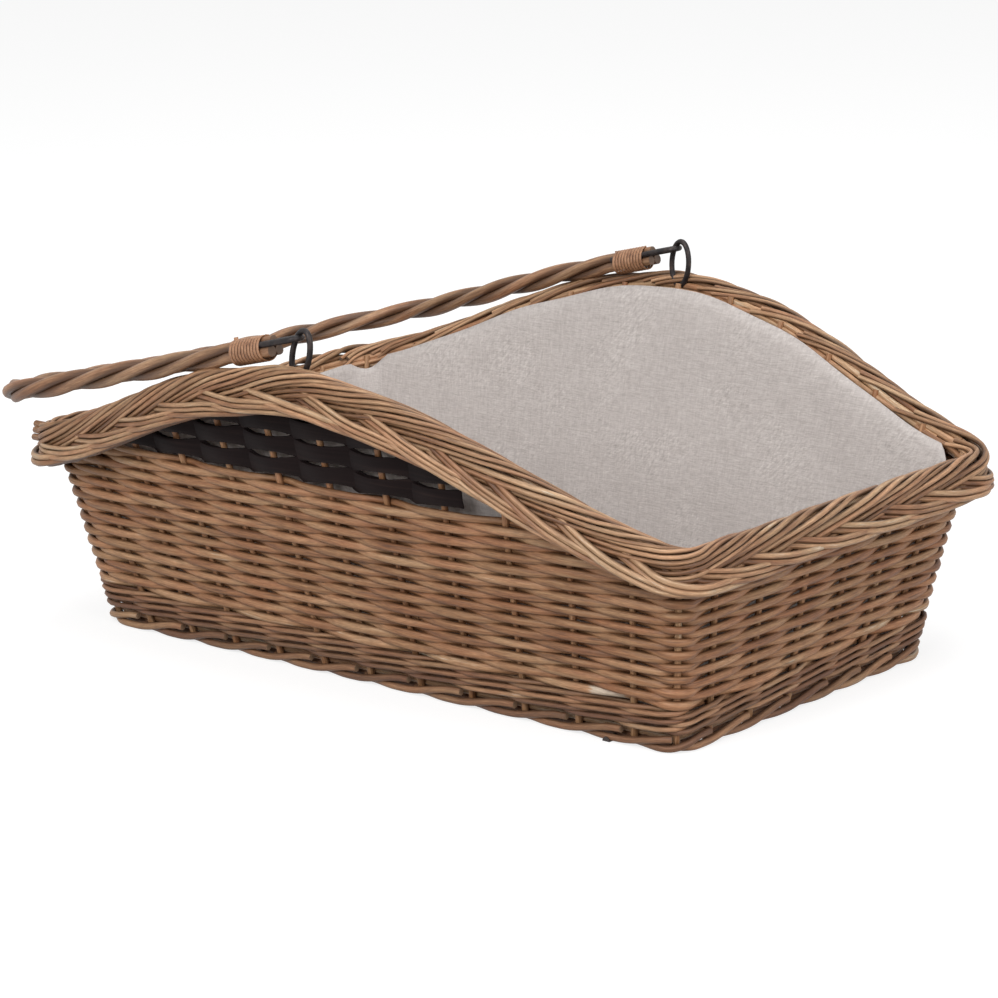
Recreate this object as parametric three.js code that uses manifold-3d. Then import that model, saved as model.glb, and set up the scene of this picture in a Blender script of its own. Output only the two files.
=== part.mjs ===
// Wicker firewood basket: a low, leaning, woven willow basket whose two long sides rise in a hump, with a
// plaited border, a cloth lining and one twisted swing handle hung from two iron rings.
// Millimetres, +Z up. The origin is on the floor under the middle of the basket; X runs along the long sides
import * as THREE from "three";
import { mergeVertices } from "three/addons/utils/BufferGeometryUtils.js";
import Module from "manifold-3d";

// Overall form of the basket
const rimLength = 608; // over the top line of the border
const rimWidth = 388; // the same across the corners
const peakWidth = 456; // the same across the two humps
const cornerHeight = 149; // top of the border at the corners
const humpRise = 88; // height of a hump above the corners
const humpRunOut = 31; // a hump would run out this far beyond the end of the border
const baseLength = 545; // over the foot
const baseWidth = 312;
const baseCornerRadius = 36; // outer corner of the foot
const rimCornerRadius = 41; // corner of the border's top line
const clearance = 0.4; // air between pieces that touch

// Foot and base
const footHeight = 9.2;
const footChamfer = 2.6;
const matThickness = 7;
const baseSticks = 5;
const baseStickInset = 60; // outermost sticks from the ends of the foot
const baseStickWidth = 16;
const tongueWidth = 6; // slender end of a base stick, which passes through the foot
const tongueHeight = 5.5;
const tongueReach = 1; // how far it stands out of the foot
const matMargin = 1; // edge of the mat beyond the stakes
const stakeSink = 6; // how deep a stake is set in the mat

// Wall
const longSideStakes = 11; // between two corner stakes
const shortSideStakes = 6;
const stakeDiameter = 6;
const weaverThickness = 5;
const wallRows = 14; // rows all round, from the base up to the border
const waleRows = 2; // strong rows among them, at the bottom
const fillerRows = 2; // rows that run along the long sides only, under the dark splints
const splintHeight = 15.6;
const splintThickness = 2;
const splintGap = 0.8;
const shortestSplint = 60;
const leastEnd = 0.1; // shortest end of a rod beyond its last stake, in stake gaps
const cornerEase = 1.16; // a rod swings this much wider round the outside of a corner stake

// Border
const hoopWidth = 11.2; // bundle of lengthwise rods that the border is plaited on
const hoopHeight = 10;
const hoopDepth = 6; // top of the hoop below the top of the plait
const strandWidth = 12;
const strandThickness = 4.6;
const plaitRepeats = 11; // full swings of one strand round the basket
const plaitSpread = 0.93; // swing of a strand up and down, in strand widths
const plaitLift = 0.72; // swing of a strand in and out, in strand thicknesses
const plaitInset = 1.5; // middle of the plait inside the top line
const plaitTilt = 0.086; // lean of the plait, outwards for each millimetre down
const plaitSwell = 1.3; // how much further out the plait lies round the corners

// Lining
const liningThickness = 1.6;
const liningEase = 0.8; // air between the weave and the lining
const liningDepth = 10; // hem of the lining below the top of the border

// Handle and its rings
const ringWire = 4;
const ringInnerRadius = 5.9;
const hingeRise = 16; // swing axis above the top of a hump
const eyeWire = 3.4;
const rodDiameter = 7;
const rodGap = 0.85; // between two rods of the twist
const handleReach = 339; // swing axis to the middle of the crossbar
const handleCornerRadius = 70;
const rodStart = 21; // butt end of the rods from the swing axis
const twistStart = 68; // the rods lie straight up to here
const twistTurns = 17 / 3; // whole thirds, so that both ends look alike
const caneWidth = 2.4;
const caneThickness = 1.3;
const caneGap = 0.5;
const bindingTurns = 10;
const bindingStart = 32;

// Facets
const arcSteps = 4; // of a corner of the basket
const stakeSides = 5;
const stickSteps = 4; // of a base stick's round back
const strandSteps = 10; // of one plait repeat
const wireSides = 6;
const lengthSteps = 800; // for even spacing round the border
const ringArcSteps = 10; // of half a ring
const turnSteps = 12; // of one turn of cane
const armSteps = 13; // of a straight arm's twisted part
const bendSteps = 9; // of a corner of the handle
const shareStep = 0.01; // of a side, to find where the folded handle rests
const weldDistance = 1e-4;

// Levels and offsets that follow from the sizes above
const humpHalfLength = rimLength / 2 + humpRunOut; // from the top of a hump to where it would run out
const baseStickSpacing = (baseLength - 2 * baseStickInset) / (baseSticks - 1);
const stakeRadius = stakeDiameter / 2;
const weaveOffset = stakeRadius + clearance + weaverThickness / 2;
const splintOffset = stakeRadius + clearance + splintThickness / 2;
const wallHalf = weaveOffset + weaverThickness / 2;
const matBottom = footHeight + clearance;
const matTop = matBottom + matThickness;
const hoopBottom = hoopDepth + hoopHeight;
const rowPitch = (cornerHeight - hoopBottom - matTop) / wallRows;
const weaverHeight = rowPitch - clearance;
const firstRowHeight = matTop + rowPitch / 2;
const plaitSwing = plaitSpread * (strandWidth + clearance);
const plaitDepth = plaitLift * (strandThickness + clearance);
const plaitHalfHeight = plaitSwing + strandWidth / 2;
const plaitHalfDepth = plaitDepth + strandThickness / 2;
const hoopOuter = plaitInset + plaitHalfDepth + plaitTilt * plaitSwing + clearance; // inside the top line
const stakeInset = hoopOuter + hoopWidth / 2;
const baseMidLength = baseLength / 2 - wallHalf;
const baseMidWidth = baseWidth / 2 - wallHalf;
const peakHeight = cornerHeight + humpRise;
const shortLean = (rimLength / 2 - stakeInset - baseMidLength) / cornerHeight;
const cornerLean = (rimWidth / 2 - stakeInset - baseMidWidth) / cornerHeight;
const peakLean = (peakWidth / 2 - stakeInset - baseMidWidth) / peakHeight;

const wasm = await Module();
wasm.setup();

const finishes = {
  willow: { color: 0x9a6d43, roughness: 0.7, metalness: 0 },
  darkWillow: { color: 0x7a4f2e, roughness: 0.7, metalness: 0 },
  splint: { color: 0x2b2322, roughness: 0.6, metalness: 0 },
  cloth: { color: 0xbeb6ae, roughness: 0.95, metalness: 0 },
  cane: { color: 0xa9713f, roughness: 0.6, metalness: 0 },
  iron: { color: 0x2a2527, roughness: 0.5, metalness: 0.8 },
};

function piece(name, geometry, finish) {
  geometry.computeVertexNormals();
  const mesh = new THREE.Mesh(geometry, new THREE.MeshStandardMaterial(finishes[finish]));
  mesh.name = name;
  return mesh;
}

// A solid over a row of sections of equal point count, each counter-clockwise about the way ahead.
function loft(sections, closed) {
  const size = sections[0].length;
  const count = sections.length;
  const indices = [];
  for (let i = 0; i < (closed ? count : count - 1); i++) {
    const here = i * size;
    const next = ((i + 1) % count) * size;
    for (let j = 0; j < size; j++) {
      const k = (j + 1) % size;
      indices.push(here + j, here + k, next + k, here + j, next + k, next + j);
    }
  }
  if (!closed) {
    const last = (count - 1) * size;
    for (let j = 1; j < size - 1; j++) {
      indices.push(0, j + 1, j, last, last + j, last + j + 1);
    }
  }
  const geometry = new THREE.BufferGeometry().setFromPoints(sections.flat());
  geometry.setIndex(indices);
  return geometry;
}

function solidOf(geometry) {
  const bare = geometry.clone();
  bare.deleteAttribute("normal");
  bare.deleteAttribute("uv");
  const merged = mergeVertices(bare, weldDistance);
  const vertProperties = new Float32Array(merged.getAttribute("position").array);
  const triVerts = new Uint32Array(merged.index.array);
  return new wasm.Manifold(new wasm.Mesh({ numProp: 3, vertProperties, triVerts }));
}

function geometryOf(solid) {
  const { vertProperties, triVerts } = solid.getMesh();
  const geometry = new THREE.BufferGeometry();
  geometry.setAttribute("position", new THREE.BufferAttribute(vertProperties, 3));
  geometry.setIndex(new THREE.BufferAttribute(triVerts, 1));
  return geometry;
}

// A station is a place round the wall: fx and fy are shares of the straight runs, (nx, ny) points outwards.
function cornerStation(fx, fy, angle) {
  return { fx, fy, nx: Math.cos(angle), ny: Math.sin(angle) };
}

function wallPoint({ fx, fy, nx, ny }, z, out = 0) {
  const rise = z / cornerHeight;
  const radius = (baseCornerRadius - wallHalf) * (1 - rise) + (rimCornerRadius - stakeInset) * rise;
  const lean = cornerLean + (peakLean - cornerLean) * (1 - fx * fx);
  const halfLength = baseMidLength + shortLean * z - radius;
  const halfWidth = baseMidWidth + lean * z - radius;
  return new THREE.Vector3(fx * halfLength + nx * (radius + out), fy * halfWidth + ny * (radius + out), z);
}

function crestAt(x) {
  const share = Math.min(Math.abs(x) / humpHalfLength, 1);
  return cornerHeight + (humpRise / 2) * (1 + Math.cos(Math.PI * share));
}

function crestX(station) {
  return wallPoint(station, cornerHeight, stakeInset).x;
}

// A point of the border: offset outwards from its top line, and depth below that line.
function borderPoint(station, offset, depth) {
  const crest = crestAt(crestX(station));
  const point = wallPoint(station, crest, stakeInset + offset);
  point.z -= depth;
  return point;
}

// The four sides in order, counter-clockwise from above, each with the corner that follows it.
const straightLength = wallPoint({ fx: 1, fy: 1, nx: 0, ny: 1 }, cornerHeight / 2).x;
const straightWidth = wallPoint({ fx: 1, fy: 1, nx: 1, ny: 0 }, cornerHeight / 2).y;
const cornerLength = Math.PI * (baseCornerRadius - wallHalf + rimCornerRadius - stakeInset) / 4;
const quarter = Math.PI / 2;
const sides = [
  { name: "front", half: straightLength, stakes: longSideStakes, angle: -quarter },
  { name: "right", half: straightWidth, stakes: shortSideStakes, angle: 0 },
  { name: "back", half: straightLength, stakes: longSideStakes, angle: quarter },
  { name: "left", half: straightWidth, stakes: shortSideStakes, angle: 2 * quarter },
];

// Station on a side, at a share from -1 to 1 of its straight run, going counter-clockwise.
function sideStation(side, share) {
  const nx = Math.round(Math.cos(side.angle));
  const ny = Math.round(Math.sin(side.angle));
  return { fx: nx === 0 ? -ny * share : nx, fy: ny === 0 ? nx * share : ny, nx, ny };
}

function cornerAfter(side, share) {
  const end = sideStation(side, 1);
  return cornerStation(end.fx, end.fy, side.angle + share * quarter);
}

// Shares of a side's straight run at which its stakes stand, evenly between the corner stakes.
function stakeGap(side) {
  return (2 * side.half + cornerLength) / (side.stakes + 1);
}

function stakeShares(side) {
  const middle = (side.stakes - 1) / 2;
  return Array.from({ length: side.stakes }, (_, i) => ((i - middle) * stakeGap(side)) / side.half);
}

const stakeStations = sides.flatMap((side) => [
  ...stakeShares(side).map((share) => sideStation(side, share)),
  cornerAfter(side, 0.5),
]);

const outlineStations = sides.flatMap((side) => [
  ...stakeShares(side).map((share) => sideStation(side, share)),
  ...Array.from({ length: arcSteps + 1 }, (_, i) => cornerAfter(side, i / arcSteps)),
]);

// Stations of a rod that runs round the wall, with its lie: 1 outside a stake, -1 inside, 0 between.
function roundPath(firstLie) {
  let lie = -firstLie;
  const nextLie = () => (lie = -lie);
  return sides.flatMap((side) => {
    const stakes = stakeShares(side).map((share) => ({ station: sideStation(side, share), lie: nextLie() }));
    const corner = nextLie() > 0 ? cornerEase : -1;
    const shoulder = corner * (1 - cornerLength / stakeGap(side));
    return [
      ...stakes,
      { station: cornerAfter(side, 0), lie: shoulder },
      { station: cornerAfter(side, 0.5), lie: corner },
      { station: cornerAfter(side, 1), lie: shoulder },
    ];
  });
}

// The same for a rod or splint on one long side, cut off at a share of its straight run.
function sidePath(side, firstLie, end) {
  const shares = stakeShares(side);
  const gap = shares[1] - shares[0];
  const inner = shares.map((share, i) => ({ share, lie: i % 2 ? -firstLie : firstLie }));
  const kept = inner.filter(({ share }) => Math.abs(share) < end - leastEnd * gap);
  const first = kept[0];
  const last = kept[kept.length - 1];
  const before = { share: -end, lie: first.lie * (1 - (2 * (end + first.share)) / gap) };
  const after = { share: end, lie: last.lie * (1 - (2 * (end - last.share)) / gap) };
  return [before, ...kept, after].map(({ share, lie }) => ({ station: sideStation(side, share), lie }));
}

// Share of a long side's straight run up to which the border leaves room for a row of this top height.
function rowReach(top) {
  const rise = (top + hoopBottom + clearance - cornerHeight) / humpRise;
  const x = (humpHalfLength / Math.PI) * Math.acos(THREE.MathUtils.clamp(2 * rise - 1, -1, 1));
  return Math.min(x / crestX(sideStation(sides[0], 1)), 1);
}

function rodSections(path, height, offset) {
  return path.map(({ station, lie }) => {
    const out = lie * offset;
    return [
      wallPoint(station, height, out + weaverThickness / 2),
      wallPoint(station, height - weaverHeight / 2, out),
      wallPoint(station, height, out - weaverThickness / 2),
      wallPoint(station, height + weaverHeight / 2, out),
    ];
  });
}

function splintSections(path, height) {
  return path.map(({ station, lie }) => {
    const outer = lie * splintOffset + splintThickness / 2;
    const inner = outer - splintThickness;
    const low = height - splintHeight / 2;
    const high = height + splintHeight / 2;
    return [
      wallPoint(station, high, outer),
      wallPoint(station, low, outer),
      wallPoint(station, low, inner),
      wallPoint(station, high, inner),
    ];
  });
}

// Base: a woven mat on crosswise sticks, with the wall's stakes growing out of its edge.
function stakedBase() {
  const edge = (z) => outlineStations.map((station) => wallPoint(station, z, stakeRadius + matMargin));
  let base = solidOf(loft([edge(matBottom), edge(matTop)], false));
  for (const station of stakeStations) {
    const top = crestAt(crestX(station)) - hoopBottom;
    const stake = [matTop - stakeSink, top].map((z) => {
      const middle = wallPoint(station, z);
      return Array.from({ length: stakeSides }, (_, i) => {
        const angle = (2 * Math.PI * i) / stakeSides;
        const step = stakeRadius * Math.cos(angle);
        const slope = crestAt(crestX(station)) - crestAt(crestX(station) + step);
        const fall = z === top ? slope + 2 * clearance : 0;
        return new THREE.Vector3(step, stakeRadius * Math.sin(angle), -fall).add(middle);
      });
    });
    base = base.add(solidOf(loft(stake, false)));
  }
  return geometryOf(base);
}

const stickPlaces = Array.from(
  { length: baseSticks },
  (_, i) => (i - (baseSticks - 1) / 2) * baseStickSpacing,
);

function stickBlank(width, height, halfLength) {
  const profile = new THREE.Shape();
  profile.absellipse(0, 0, width / 2, height, 0, Math.PI);
  profile.closePath();
  const blank = new THREE.ExtrudeGeometry(profile, {
    depth: 2 * halfLength,
    bevelEnabled: false,
    curveSegments: stickSteps,
  });
  return blank.translate(0, 0, -halfLength).rotateX(quarter);
}

function baseStick() {
  const body = stickBlank(baseStickWidth, footHeight, baseMidWidth - wallHalf - clearance);
  const tongue = stickBlank(tongueWidth, tongueHeight, baseWidth / 2 + tongueReach);
  return geometryOf(solidOf(body).add(solidOf(tongue)));
}

function footBorder() {
  const sections = outlineStations.map((station) => [
    wallPoint(station, footHeight - footChamfer, wallHalf),
    wallPoint(station, 0, wallHalf),
    wallPoint(station, 0, -wallHalf),
    wallPoint(station, footHeight, -wallHalf),
    wallPoint(station, footHeight, wallHalf - footChamfer),
  ]);
  let foot = solidOf(loft(sections, true));
  const notchHeight = 2 * (tongueHeight + clearance);
  const notch = new THREE.BoxGeometry(tongueWidth + 2 * clearance, 2 * baseWidth, notchHeight);
  for (const x of stickPlaces) {
    foot = foot.subtract(solidOf(notch.clone().translate(x, 0, 0)));
  }
  return geometryOf(foot);
}

// Border: a hoop of lengthwise rods with a flat plait of three strands lying on its outer side.
class TopLine extends THREE.Curve {
  getPoint(t, target = new THREE.Vector3()) {
    return target.copy(borderPoint(roundStation(t), 0, 0));
  }
}

function roundStation(t) {
  const total = sides.reduce((sum, side) => sum + 2 * side.half + cornerLength, 0);
  let along = (t % 1) * total;
  for (const side of sides) {
    if (along < 2 * side.half) {
      return sideStation(side, along / side.half - 1);
    }
    along -= 2 * side.half;
    if (along < cornerLength) {
      return cornerAfter(side, along / cornerLength);
    }
    along -= cornerLength;
  }
  return sideStation(sides[0], -1);
}

function borderStrands() {
  const topLine = new TopLine();
  topLine.arcLengthDivisions = lengthSteps;
  const count = plaitRepeats * strandSteps;
  const stations = Array.from({ length: count }, (_, i) => roundStation(topLine.getUtoTmapping(i / count)));
  return [0, 1, 2].map((strand) => {
    const sections = stations.map((station, i) => {
      const phase = 2 * Math.PI * (i / strandSteps + strand / 3);
      const up = plaitSwing * Math.sin(phase);
      const out = plaitDepth * Math.sin(2 * phase);
      const place = (alongWidth, alongThickness) => {
        const fall = plaitHalfHeight - up - alongWidth;
        const swell = 2 * plaitSwell * Math.abs(station.nx * station.ny);
        const lean = plaitTilt * (fall - plaitHalfHeight);
        return borderPoint(station, out + alongThickness - plaitInset + lean + swell, fall);
      };
      return [
        place(0, strandThickness / 2),
        place(-strandWidth / 2, 0),
        place(0, -strandThickness / 2),
        place(strandWidth / 2, 0),
      ];
    });
    return loft(sections, true);
  });
}

// Rings: closed iron links that stand in the border at the tops of the humps, in the plane of the swing.
const hingeHeight = peakHeight + hingeRise;
const hingeOffset = peakWidth / 2 - stakeInset;
const ringRadius = ringInnerRadius + ringWire / 2;
const ringDrop = hingeRise + hoopDepth + hoopHeight / 2 - ringRadius; // between the centres of its two arcs

function ringLink(wireRadius) {
  const places = [];
  for (const [from, centre] of [[0, 0], [Math.PI, -ringDrop]]) {
    for (let i = 0; i <= ringArcSteps; i++) {
      places.push({ angle: from + (Math.PI * i) / ringArcSteps, centre });
    }
  }
  const sections = places.map(({ angle, centre }) => {
    const out = new THREE.Vector3(Math.cos(angle), 0, Math.sin(angle));
    return Array.from({ length: wireSides }, (_, i) => {
      const round = (2 * Math.PI * i) / wireSides;
      const point = out.clone().multiplyScalar(ringRadius + wireRadius * Math.cos(round));
      point.y = wireRadius * Math.sin(round);
      point.z += centre;
      return point;
    });
  });
  return loft(sections, true);
}

function rimHoop() {
  const sections = outlineStations.map((station) => {
    const outer = hoopWidth / 2 - stakeInset;
    const inner = -hoopWidth / 2 - stakeInset;
    return [
      borderPoint(station, outer, hoopDepth),
      borderPoint(station, outer, hoopBottom),
      borderPoint(station, inner, hoopBottom),
      borderPoint(station, inner, hoopDepth),
    ];
  });
  let hoop = solidOf(loft(sections, true));
  const slot = ringLink(ringWire / 2 + clearance);
  for (const y of [-hingeOffset, hingeOffset]) {
    hoop = hoop.subtract(solidOf(slot.clone().translate(0, y, hingeHeight)));
  }
  return geometryOf(hoop);
}

// Lining: a cloth tub that lies against the inside of the weave and ends in a hem below the border's top.
function liningTub() {
  const outside = -wallHalf - liningEase;
  const inside = outside - liningThickness;
  const floor = matTop + clearance;
  const ring = (out, heightOf) =>
    outlineStations.map((station) => wallPoint(station, heightOf(station), out));
  const hem = (station) => crestAt(crestX(station)) - liningDepth;
  return loft(
    [
      ring(outside, () => floor),
      ring(outside, hem),
      ring(inside, hem),
      ring(inside, () => floor + liningThickness),
    ],
    false,
  );
}

// Handle, in its own frame: swing axis along Y at the origin, arms along -X, its flat side along Z.
const bundleRadius = (rodDiameter + rodGap) / Math.sqrt(3);
const rodReach = bundleRadius + rodDiameter / 2;
const legClearance = rodDiameter / 2 + eyeWire / 2 + clearance;
const legRadius = bundleRadius / 2 + Math.sqrt(legClearance ** 2 - (3 * bundleRadius ** 2) / 4);
const legSide = legRadius * Math.cos(Math.PI / 6);
const legRise = legRadius * Math.sin(Math.PI / 6);
const bindingInner = Math.max(rodReach, legRadius + eyeWire / 2) + clearance;
const bindingPath = (bindingInner + caneThickness / 2) / Math.cos(Math.PI / turnSteps);
const bindingPitch = caneWidth + caneGap;
const bindingEnd = bindingStart + bindingTurns * bindingPitch + caneWidth;
const bindingReach = bindingPath + caneThickness / 2;

// Places along the middle of the handle, from the front end round to the back end, with the way ahead.
function handlePlaces() {
  const armEnd = handleReach - handleCornerRadius;
  const bendY = hingeOffset - handleCornerRadius;
  const places = [rodStart, twistStart].map((d) => ({ x: -d, y: -hingeOffset, angle: Math.PI }));
  for (let i = 1; i < armSteps; i++) {
    const d = twistStart + ((armEnd - twistStart) * i) / armSteps;
    places.push({ x: -d, y: -hingeOffset, angle: Math.PI });
  }
  for (let i = 0; i <= bendSteps; i++) {
    const turn = (quarter * i) / bendSteps;
    places.push({
      x: -armEnd - handleCornerRadius * Math.sin(turn),
      y: -bendY - handleCornerRadius * Math.cos(turn),
      angle: Math.PI - turn,
    });
  }
  const crossbarStep = (armEnd - twistStart) / armSteps;
  const crossbarSteps = Math.ceil(bendY / crossbarStep);
  for (let i = 1; i < crossbarSteps; i++) {
    places.push({ x: -handleReach, y: -bendY + (bendY * i) / crossbarSteps, angle: quarter });
  }
  const mirrored = places.toReversed().map(({ x, y, angle }) => ({ x, y: -y, angle: Math.PI - angle }));
  return [...places, { x: -handleReach, y: 0, angle: quarter }, ...mirrored];
}

function handleRods() {
  const places = handlePlaces();
  const lengths = [0];
  for (let i = 1; i < places.length; i++) {
    lengths.push(lengths[i - 1] + Math.hypot(places[i].x - places[i - 1].x, places[i].y - places[i - 1].y));
  }
  const plain = twistStart - rodStart;
  const twisted = lengths[lengths.length - 1] - 2 * plain;
  return [0, 1, 2].map((rod) => {
    const sections = places.map(({ x, y, angle }, i) => {
      const share = THREE.MathUtils.clamp((lengths[i] - plain) / twisted, 0, 1);
      const lay = quarter + 2 * Math.PI * (rod / 3 - twistTurns * share);
      const left = new THREE.Vector3(-Math.sin(angle), Math.cos(angle), 0);
      const around = (radius, turn) =>
        new THREE.Vector3(0, 0, radius * Math.sin(turn)).addScaledVector(left, radius * Math.cos(turn));
      const middle = around(bundleRadius, lay).add(new THREE.Vector3(x, y, 0));
      return Array.from({ length: wireSides }, (_, k) =>
        around(rodDiameter / 2, (2 * Math.PI * k) / wireSides).add(middle),
      );
    });
    return loft(sections, false);
  });
}

// Hairpin eye: a wire bent round the ring, with both legs lying in the grooves of the bound rods.
function hairpinEye() {
  const tip = Math.sqrt((ringInnerRadius - clearance - eyeWire / 2) ** 2 - legRise ** 2);
  const places = [{ x: -bindingEnd, y: -legSide, angle: 0 }];
  for (let i = 0; i <= ringArcSteps; i++) {
    const turn = (Math.PI * i) / ringArcSteps;
    const y = -legSide * Math.cos(turn);
    places.push({ x: -tip - legSide + legSide * Math.sin(turn), y, angle: turn });
  }
  places.push({ x: -bindingEnd, y: legSide, angle: Math.PI });
  const sections = places.map(({ x, y, angle }) =>
    Array.from({ length: wireSides }, (_, k) => {
      const round = (2 * Math.PI * k) / wireSides;
      const side = (eyeWire / 2) * Math.cos(round);
      const rise = (eyeWire / 2) * Math.sin(round);
      return new THREE.Vector3(x - side * Math.sin(angle), y + side * Math.cos(angle), legRise + rise);
    }),
  );
  return loft(sections, false);
}

// Cane binding: one flat strip wound round the rods and the legs of the eye.
function bindingSections() {
  const count = bindingTurns * turnSteps;
  return Array.from({ length: count + 1 }, (_, i) => {
    const turn = (2 * Math.PI * i) / turnSteps;
    const start = -bindingStart - (bindingPitch * i) / turnSteps;
    const place = (radius, x) =>
      new THREE.Vector3(x, -radius * Math.sin(turn), radius * Math.cos(turn));
    const inner = bindingPath - caneThickness / 2;
    const outer = bindingPath + caneThickness / 2;
    return [
      place(outer, start),
      place(outer, start - caneWidth),
      place(inner, start - caneWidth),
      place(inner, start),
    ];
  });
}

function leastSelfGap(sections) {
  let least = Infinity;
  for (let i = 0; i < sections.length; i++) {
    for (let j = i + turnSteps / 2; j < sections.length; j++) {
      for (const here of sections[i]) {
        for (const there of sections[j]) {
          least = Math.min(least, here.distanceTo(there));
        }
      }
    }
  }
  return least;
}

// The handle folds down until its arms meet the border: the steepest fall that keeps clear of it all along.
function restingDroop() {
  let droop = quarter;
  const edges = [
    { offset: -plaitInset - plaitTilt * plaitHalfHeight, depth: 0 },
    { offset: hoopWidth / 2 - stakeInset, depth: hoopDepth },
    { offset: -stakeInset, depth: hoopDepth },
  ];
  for (const { offset, depth } of edges) {
    for (let share = -1; share < 0; share += shareStep) {
      const edge = borderPoint(sideStation(sides[0], share), offset, depth);
      const reach = Math.hypot(edge.x, hingeHeight - edge.z);
      const armRadius = reach < bindingEnd + bindingReach ? bindingReach : rodReach;
      const aside = Math.abs(Math.abs(edge.y) - hingeOffset);
      if (aside < armRadius && -edge.x > rodStart) {
        const needed = Math.sqrt(armRadius ** 2 - aside ** 2) + clearance;
        const fall = Math.atan2(hingeHeight - edge.z, -edge.x);
        droop = Math.min(droop, fall - Math.asin(needed / reach));
      }
    }
  }
  return droop;
}

const basket = new THREE.Group();
basket.add(piece("staked_base", stakedBase(), "willow"));
basket.add(piece("foot_border", footBorder(), "darkWillow"));

stickPlaces.forEach((x, i) => {
  const stick = piece(`base_stick_${i + 1}`, baseStick(), "darkWillow");
  stick.position.x = x;
  basket.add(stick);
});

for (let row = 0; row < wallRows; row++) {
  const number = String(row - waleRows + 1).padStart(2, "0");
  const name = row < waleRows ? `upsett_wale_${row + 1}` : `weave_row_${number}`;
  const sections = rodSections(roundPath(row % 2 ? -1 : 1), firstRowHeight + row * rowPitch, weaveOffset);
  basket.add(piece(name, loft(sections, true), row < waleRows ? "darkWillow" : "willow"));
}

const windowHeight = firstRowHeight + (wallRows + fillerRows - 0.5) * rowPitch;
for (const side of [sides[0], sides[2]]) {
  for (let row = 0; row < fillerRows; row++) {
    const height = firstRowHeight + (wallRows + row) * rowPitch;
    const path = sidePath(side, row % 2 ? -1 : 1, rowReach(height + weaverHeight / 2));
    const sections = rodSections(path, height, weaveOffset);
    basket.add(piece(`${side.name}_filler_row_${row + 1}`, loft(sections, false), "willow"));
  }
  let row = 0;
  let height = windowHeight + splintHeight / 2;
  while (2 * side.half * rowReach(height + splintHeight / 2) > shortestSplint) {
    const path = sidePath(side, row % 2 ? -1 : 1, rowReach(height + splintHeight / 2));
    basket.add(piece(`${side.name}_splint_${row + 1}`, loft(splintSections(path, height), false), "splint"));
    row += 1;
    height += splintHeight + splintGap;
  }
}

basket.add(piece("rim_hoop", rimHoop(), "willow"));
borderStrands().forEach((strand, i) => basket.add(piece(`border_strand_${i + 1}`, strand, "willow")));
basket.add(piece("lining", liningTub(), "cloth"));

for (const [name, y] of [["front_ring", -hingeOffset], ["back_ring", hingeOffset]]) {
  const ring = piece(name, ringLink(ringWire / 2), "iron");
  ring.position.set(0, y, hingeHeight);
  basket.add(ring);
}

const handle = new THREE.Group();
handle.position.z = hingeHeight;
handle.rotation.y = -restingDroop();
handleRods().forEach((rod, i) => handle.add(piece(`handle_rod_${i + 1}`, rod, "willow")));
for (const [end, y] of [["front", -hingeOffset], ["back", hingeOffset]]) {
  const sections = bindingSections();
  console.log(`${end}_binding: least gap to itself ${leastSelfGap(sections).toFixed(2)} mm`);
  const binding = piece(`${end}_binding`, loft(sections, false), "cane");
  const eye = piece(`${end}_eye`, hairpinEye(), "iron");
  binding.position.y = y;
  eye.position.y = y;
  handle.add(binding, eye);
}
basket.add(handle);

export default basket;
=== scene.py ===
import math
import random

import bmesh
import bpy
import numpy as np
from mathutils import Matrix, Vector


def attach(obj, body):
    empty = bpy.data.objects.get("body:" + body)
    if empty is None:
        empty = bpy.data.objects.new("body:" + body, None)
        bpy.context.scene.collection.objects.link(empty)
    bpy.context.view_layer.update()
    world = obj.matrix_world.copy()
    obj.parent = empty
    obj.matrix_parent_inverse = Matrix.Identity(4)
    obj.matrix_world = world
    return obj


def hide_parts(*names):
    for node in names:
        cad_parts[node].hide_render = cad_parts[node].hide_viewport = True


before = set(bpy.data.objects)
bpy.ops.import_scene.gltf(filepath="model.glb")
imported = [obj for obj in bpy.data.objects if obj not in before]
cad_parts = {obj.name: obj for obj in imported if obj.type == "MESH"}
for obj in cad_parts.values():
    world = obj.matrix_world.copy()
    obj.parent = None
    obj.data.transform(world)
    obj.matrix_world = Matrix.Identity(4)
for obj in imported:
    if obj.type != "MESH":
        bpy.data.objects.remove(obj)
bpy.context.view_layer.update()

scene = bpy.context.scene
scene.view_settings.view_transform = "Standard"


# Nodes: short ways to add the ones that the finishes use
def addNode(tree, kind, inputs=None, **settings):
    node = tree.nodes.new("ShaderNode" + kind)
    for key, value in settings.items():
        setattr(node, key, value)
    for key, value in (inputs or {}).items():
        if isinstance(value, bpy.types.NodeSocket):
            tree.links.new(value, node.inputs[key])
        else:
            node.inputs[key].default_value = value
    return node


def addMath(tree, operation, first, second=0.0, clamp=False):
    return addNode(tree, "Math", {0: first, 1: second}, operation=operation, use_clamp=clamp).outputs[0]


def weightedSum(tree, *terms):  # each term is a value and its weight
    parts = [addMath(tree, "MULTIPLY", value, weight) for value, weight in terms]
    total = parts[0]
    for part in parts[1:]:
        total = addMath(tree, "ADD", total, part)
    return total


def stretched(tree, vector, scale):
    return addNode(tree, "VectorMath", {0: vector, 1: scale}, operation="MULTIPLY").outputs[0]


def addNoise(tree, vector, detail, scale=1.0, roughness=0.5):
    inputs = {"Vector": vector, "Scale": scale, "Detail": detail, "Roughness": roughness}
    return addNode(tree, "TexNoise", inputs).outputs["Fac"]


def mixColour(tree, factor, first, second, blend="MIX"):
    sockets = {0: factor, 6: first, 7: second}  # a Mix node has several sockets of each name
    return addNode(tree, "Mix", sockets, data_type="RGBA", blend_type=blend).outputs[2]


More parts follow.
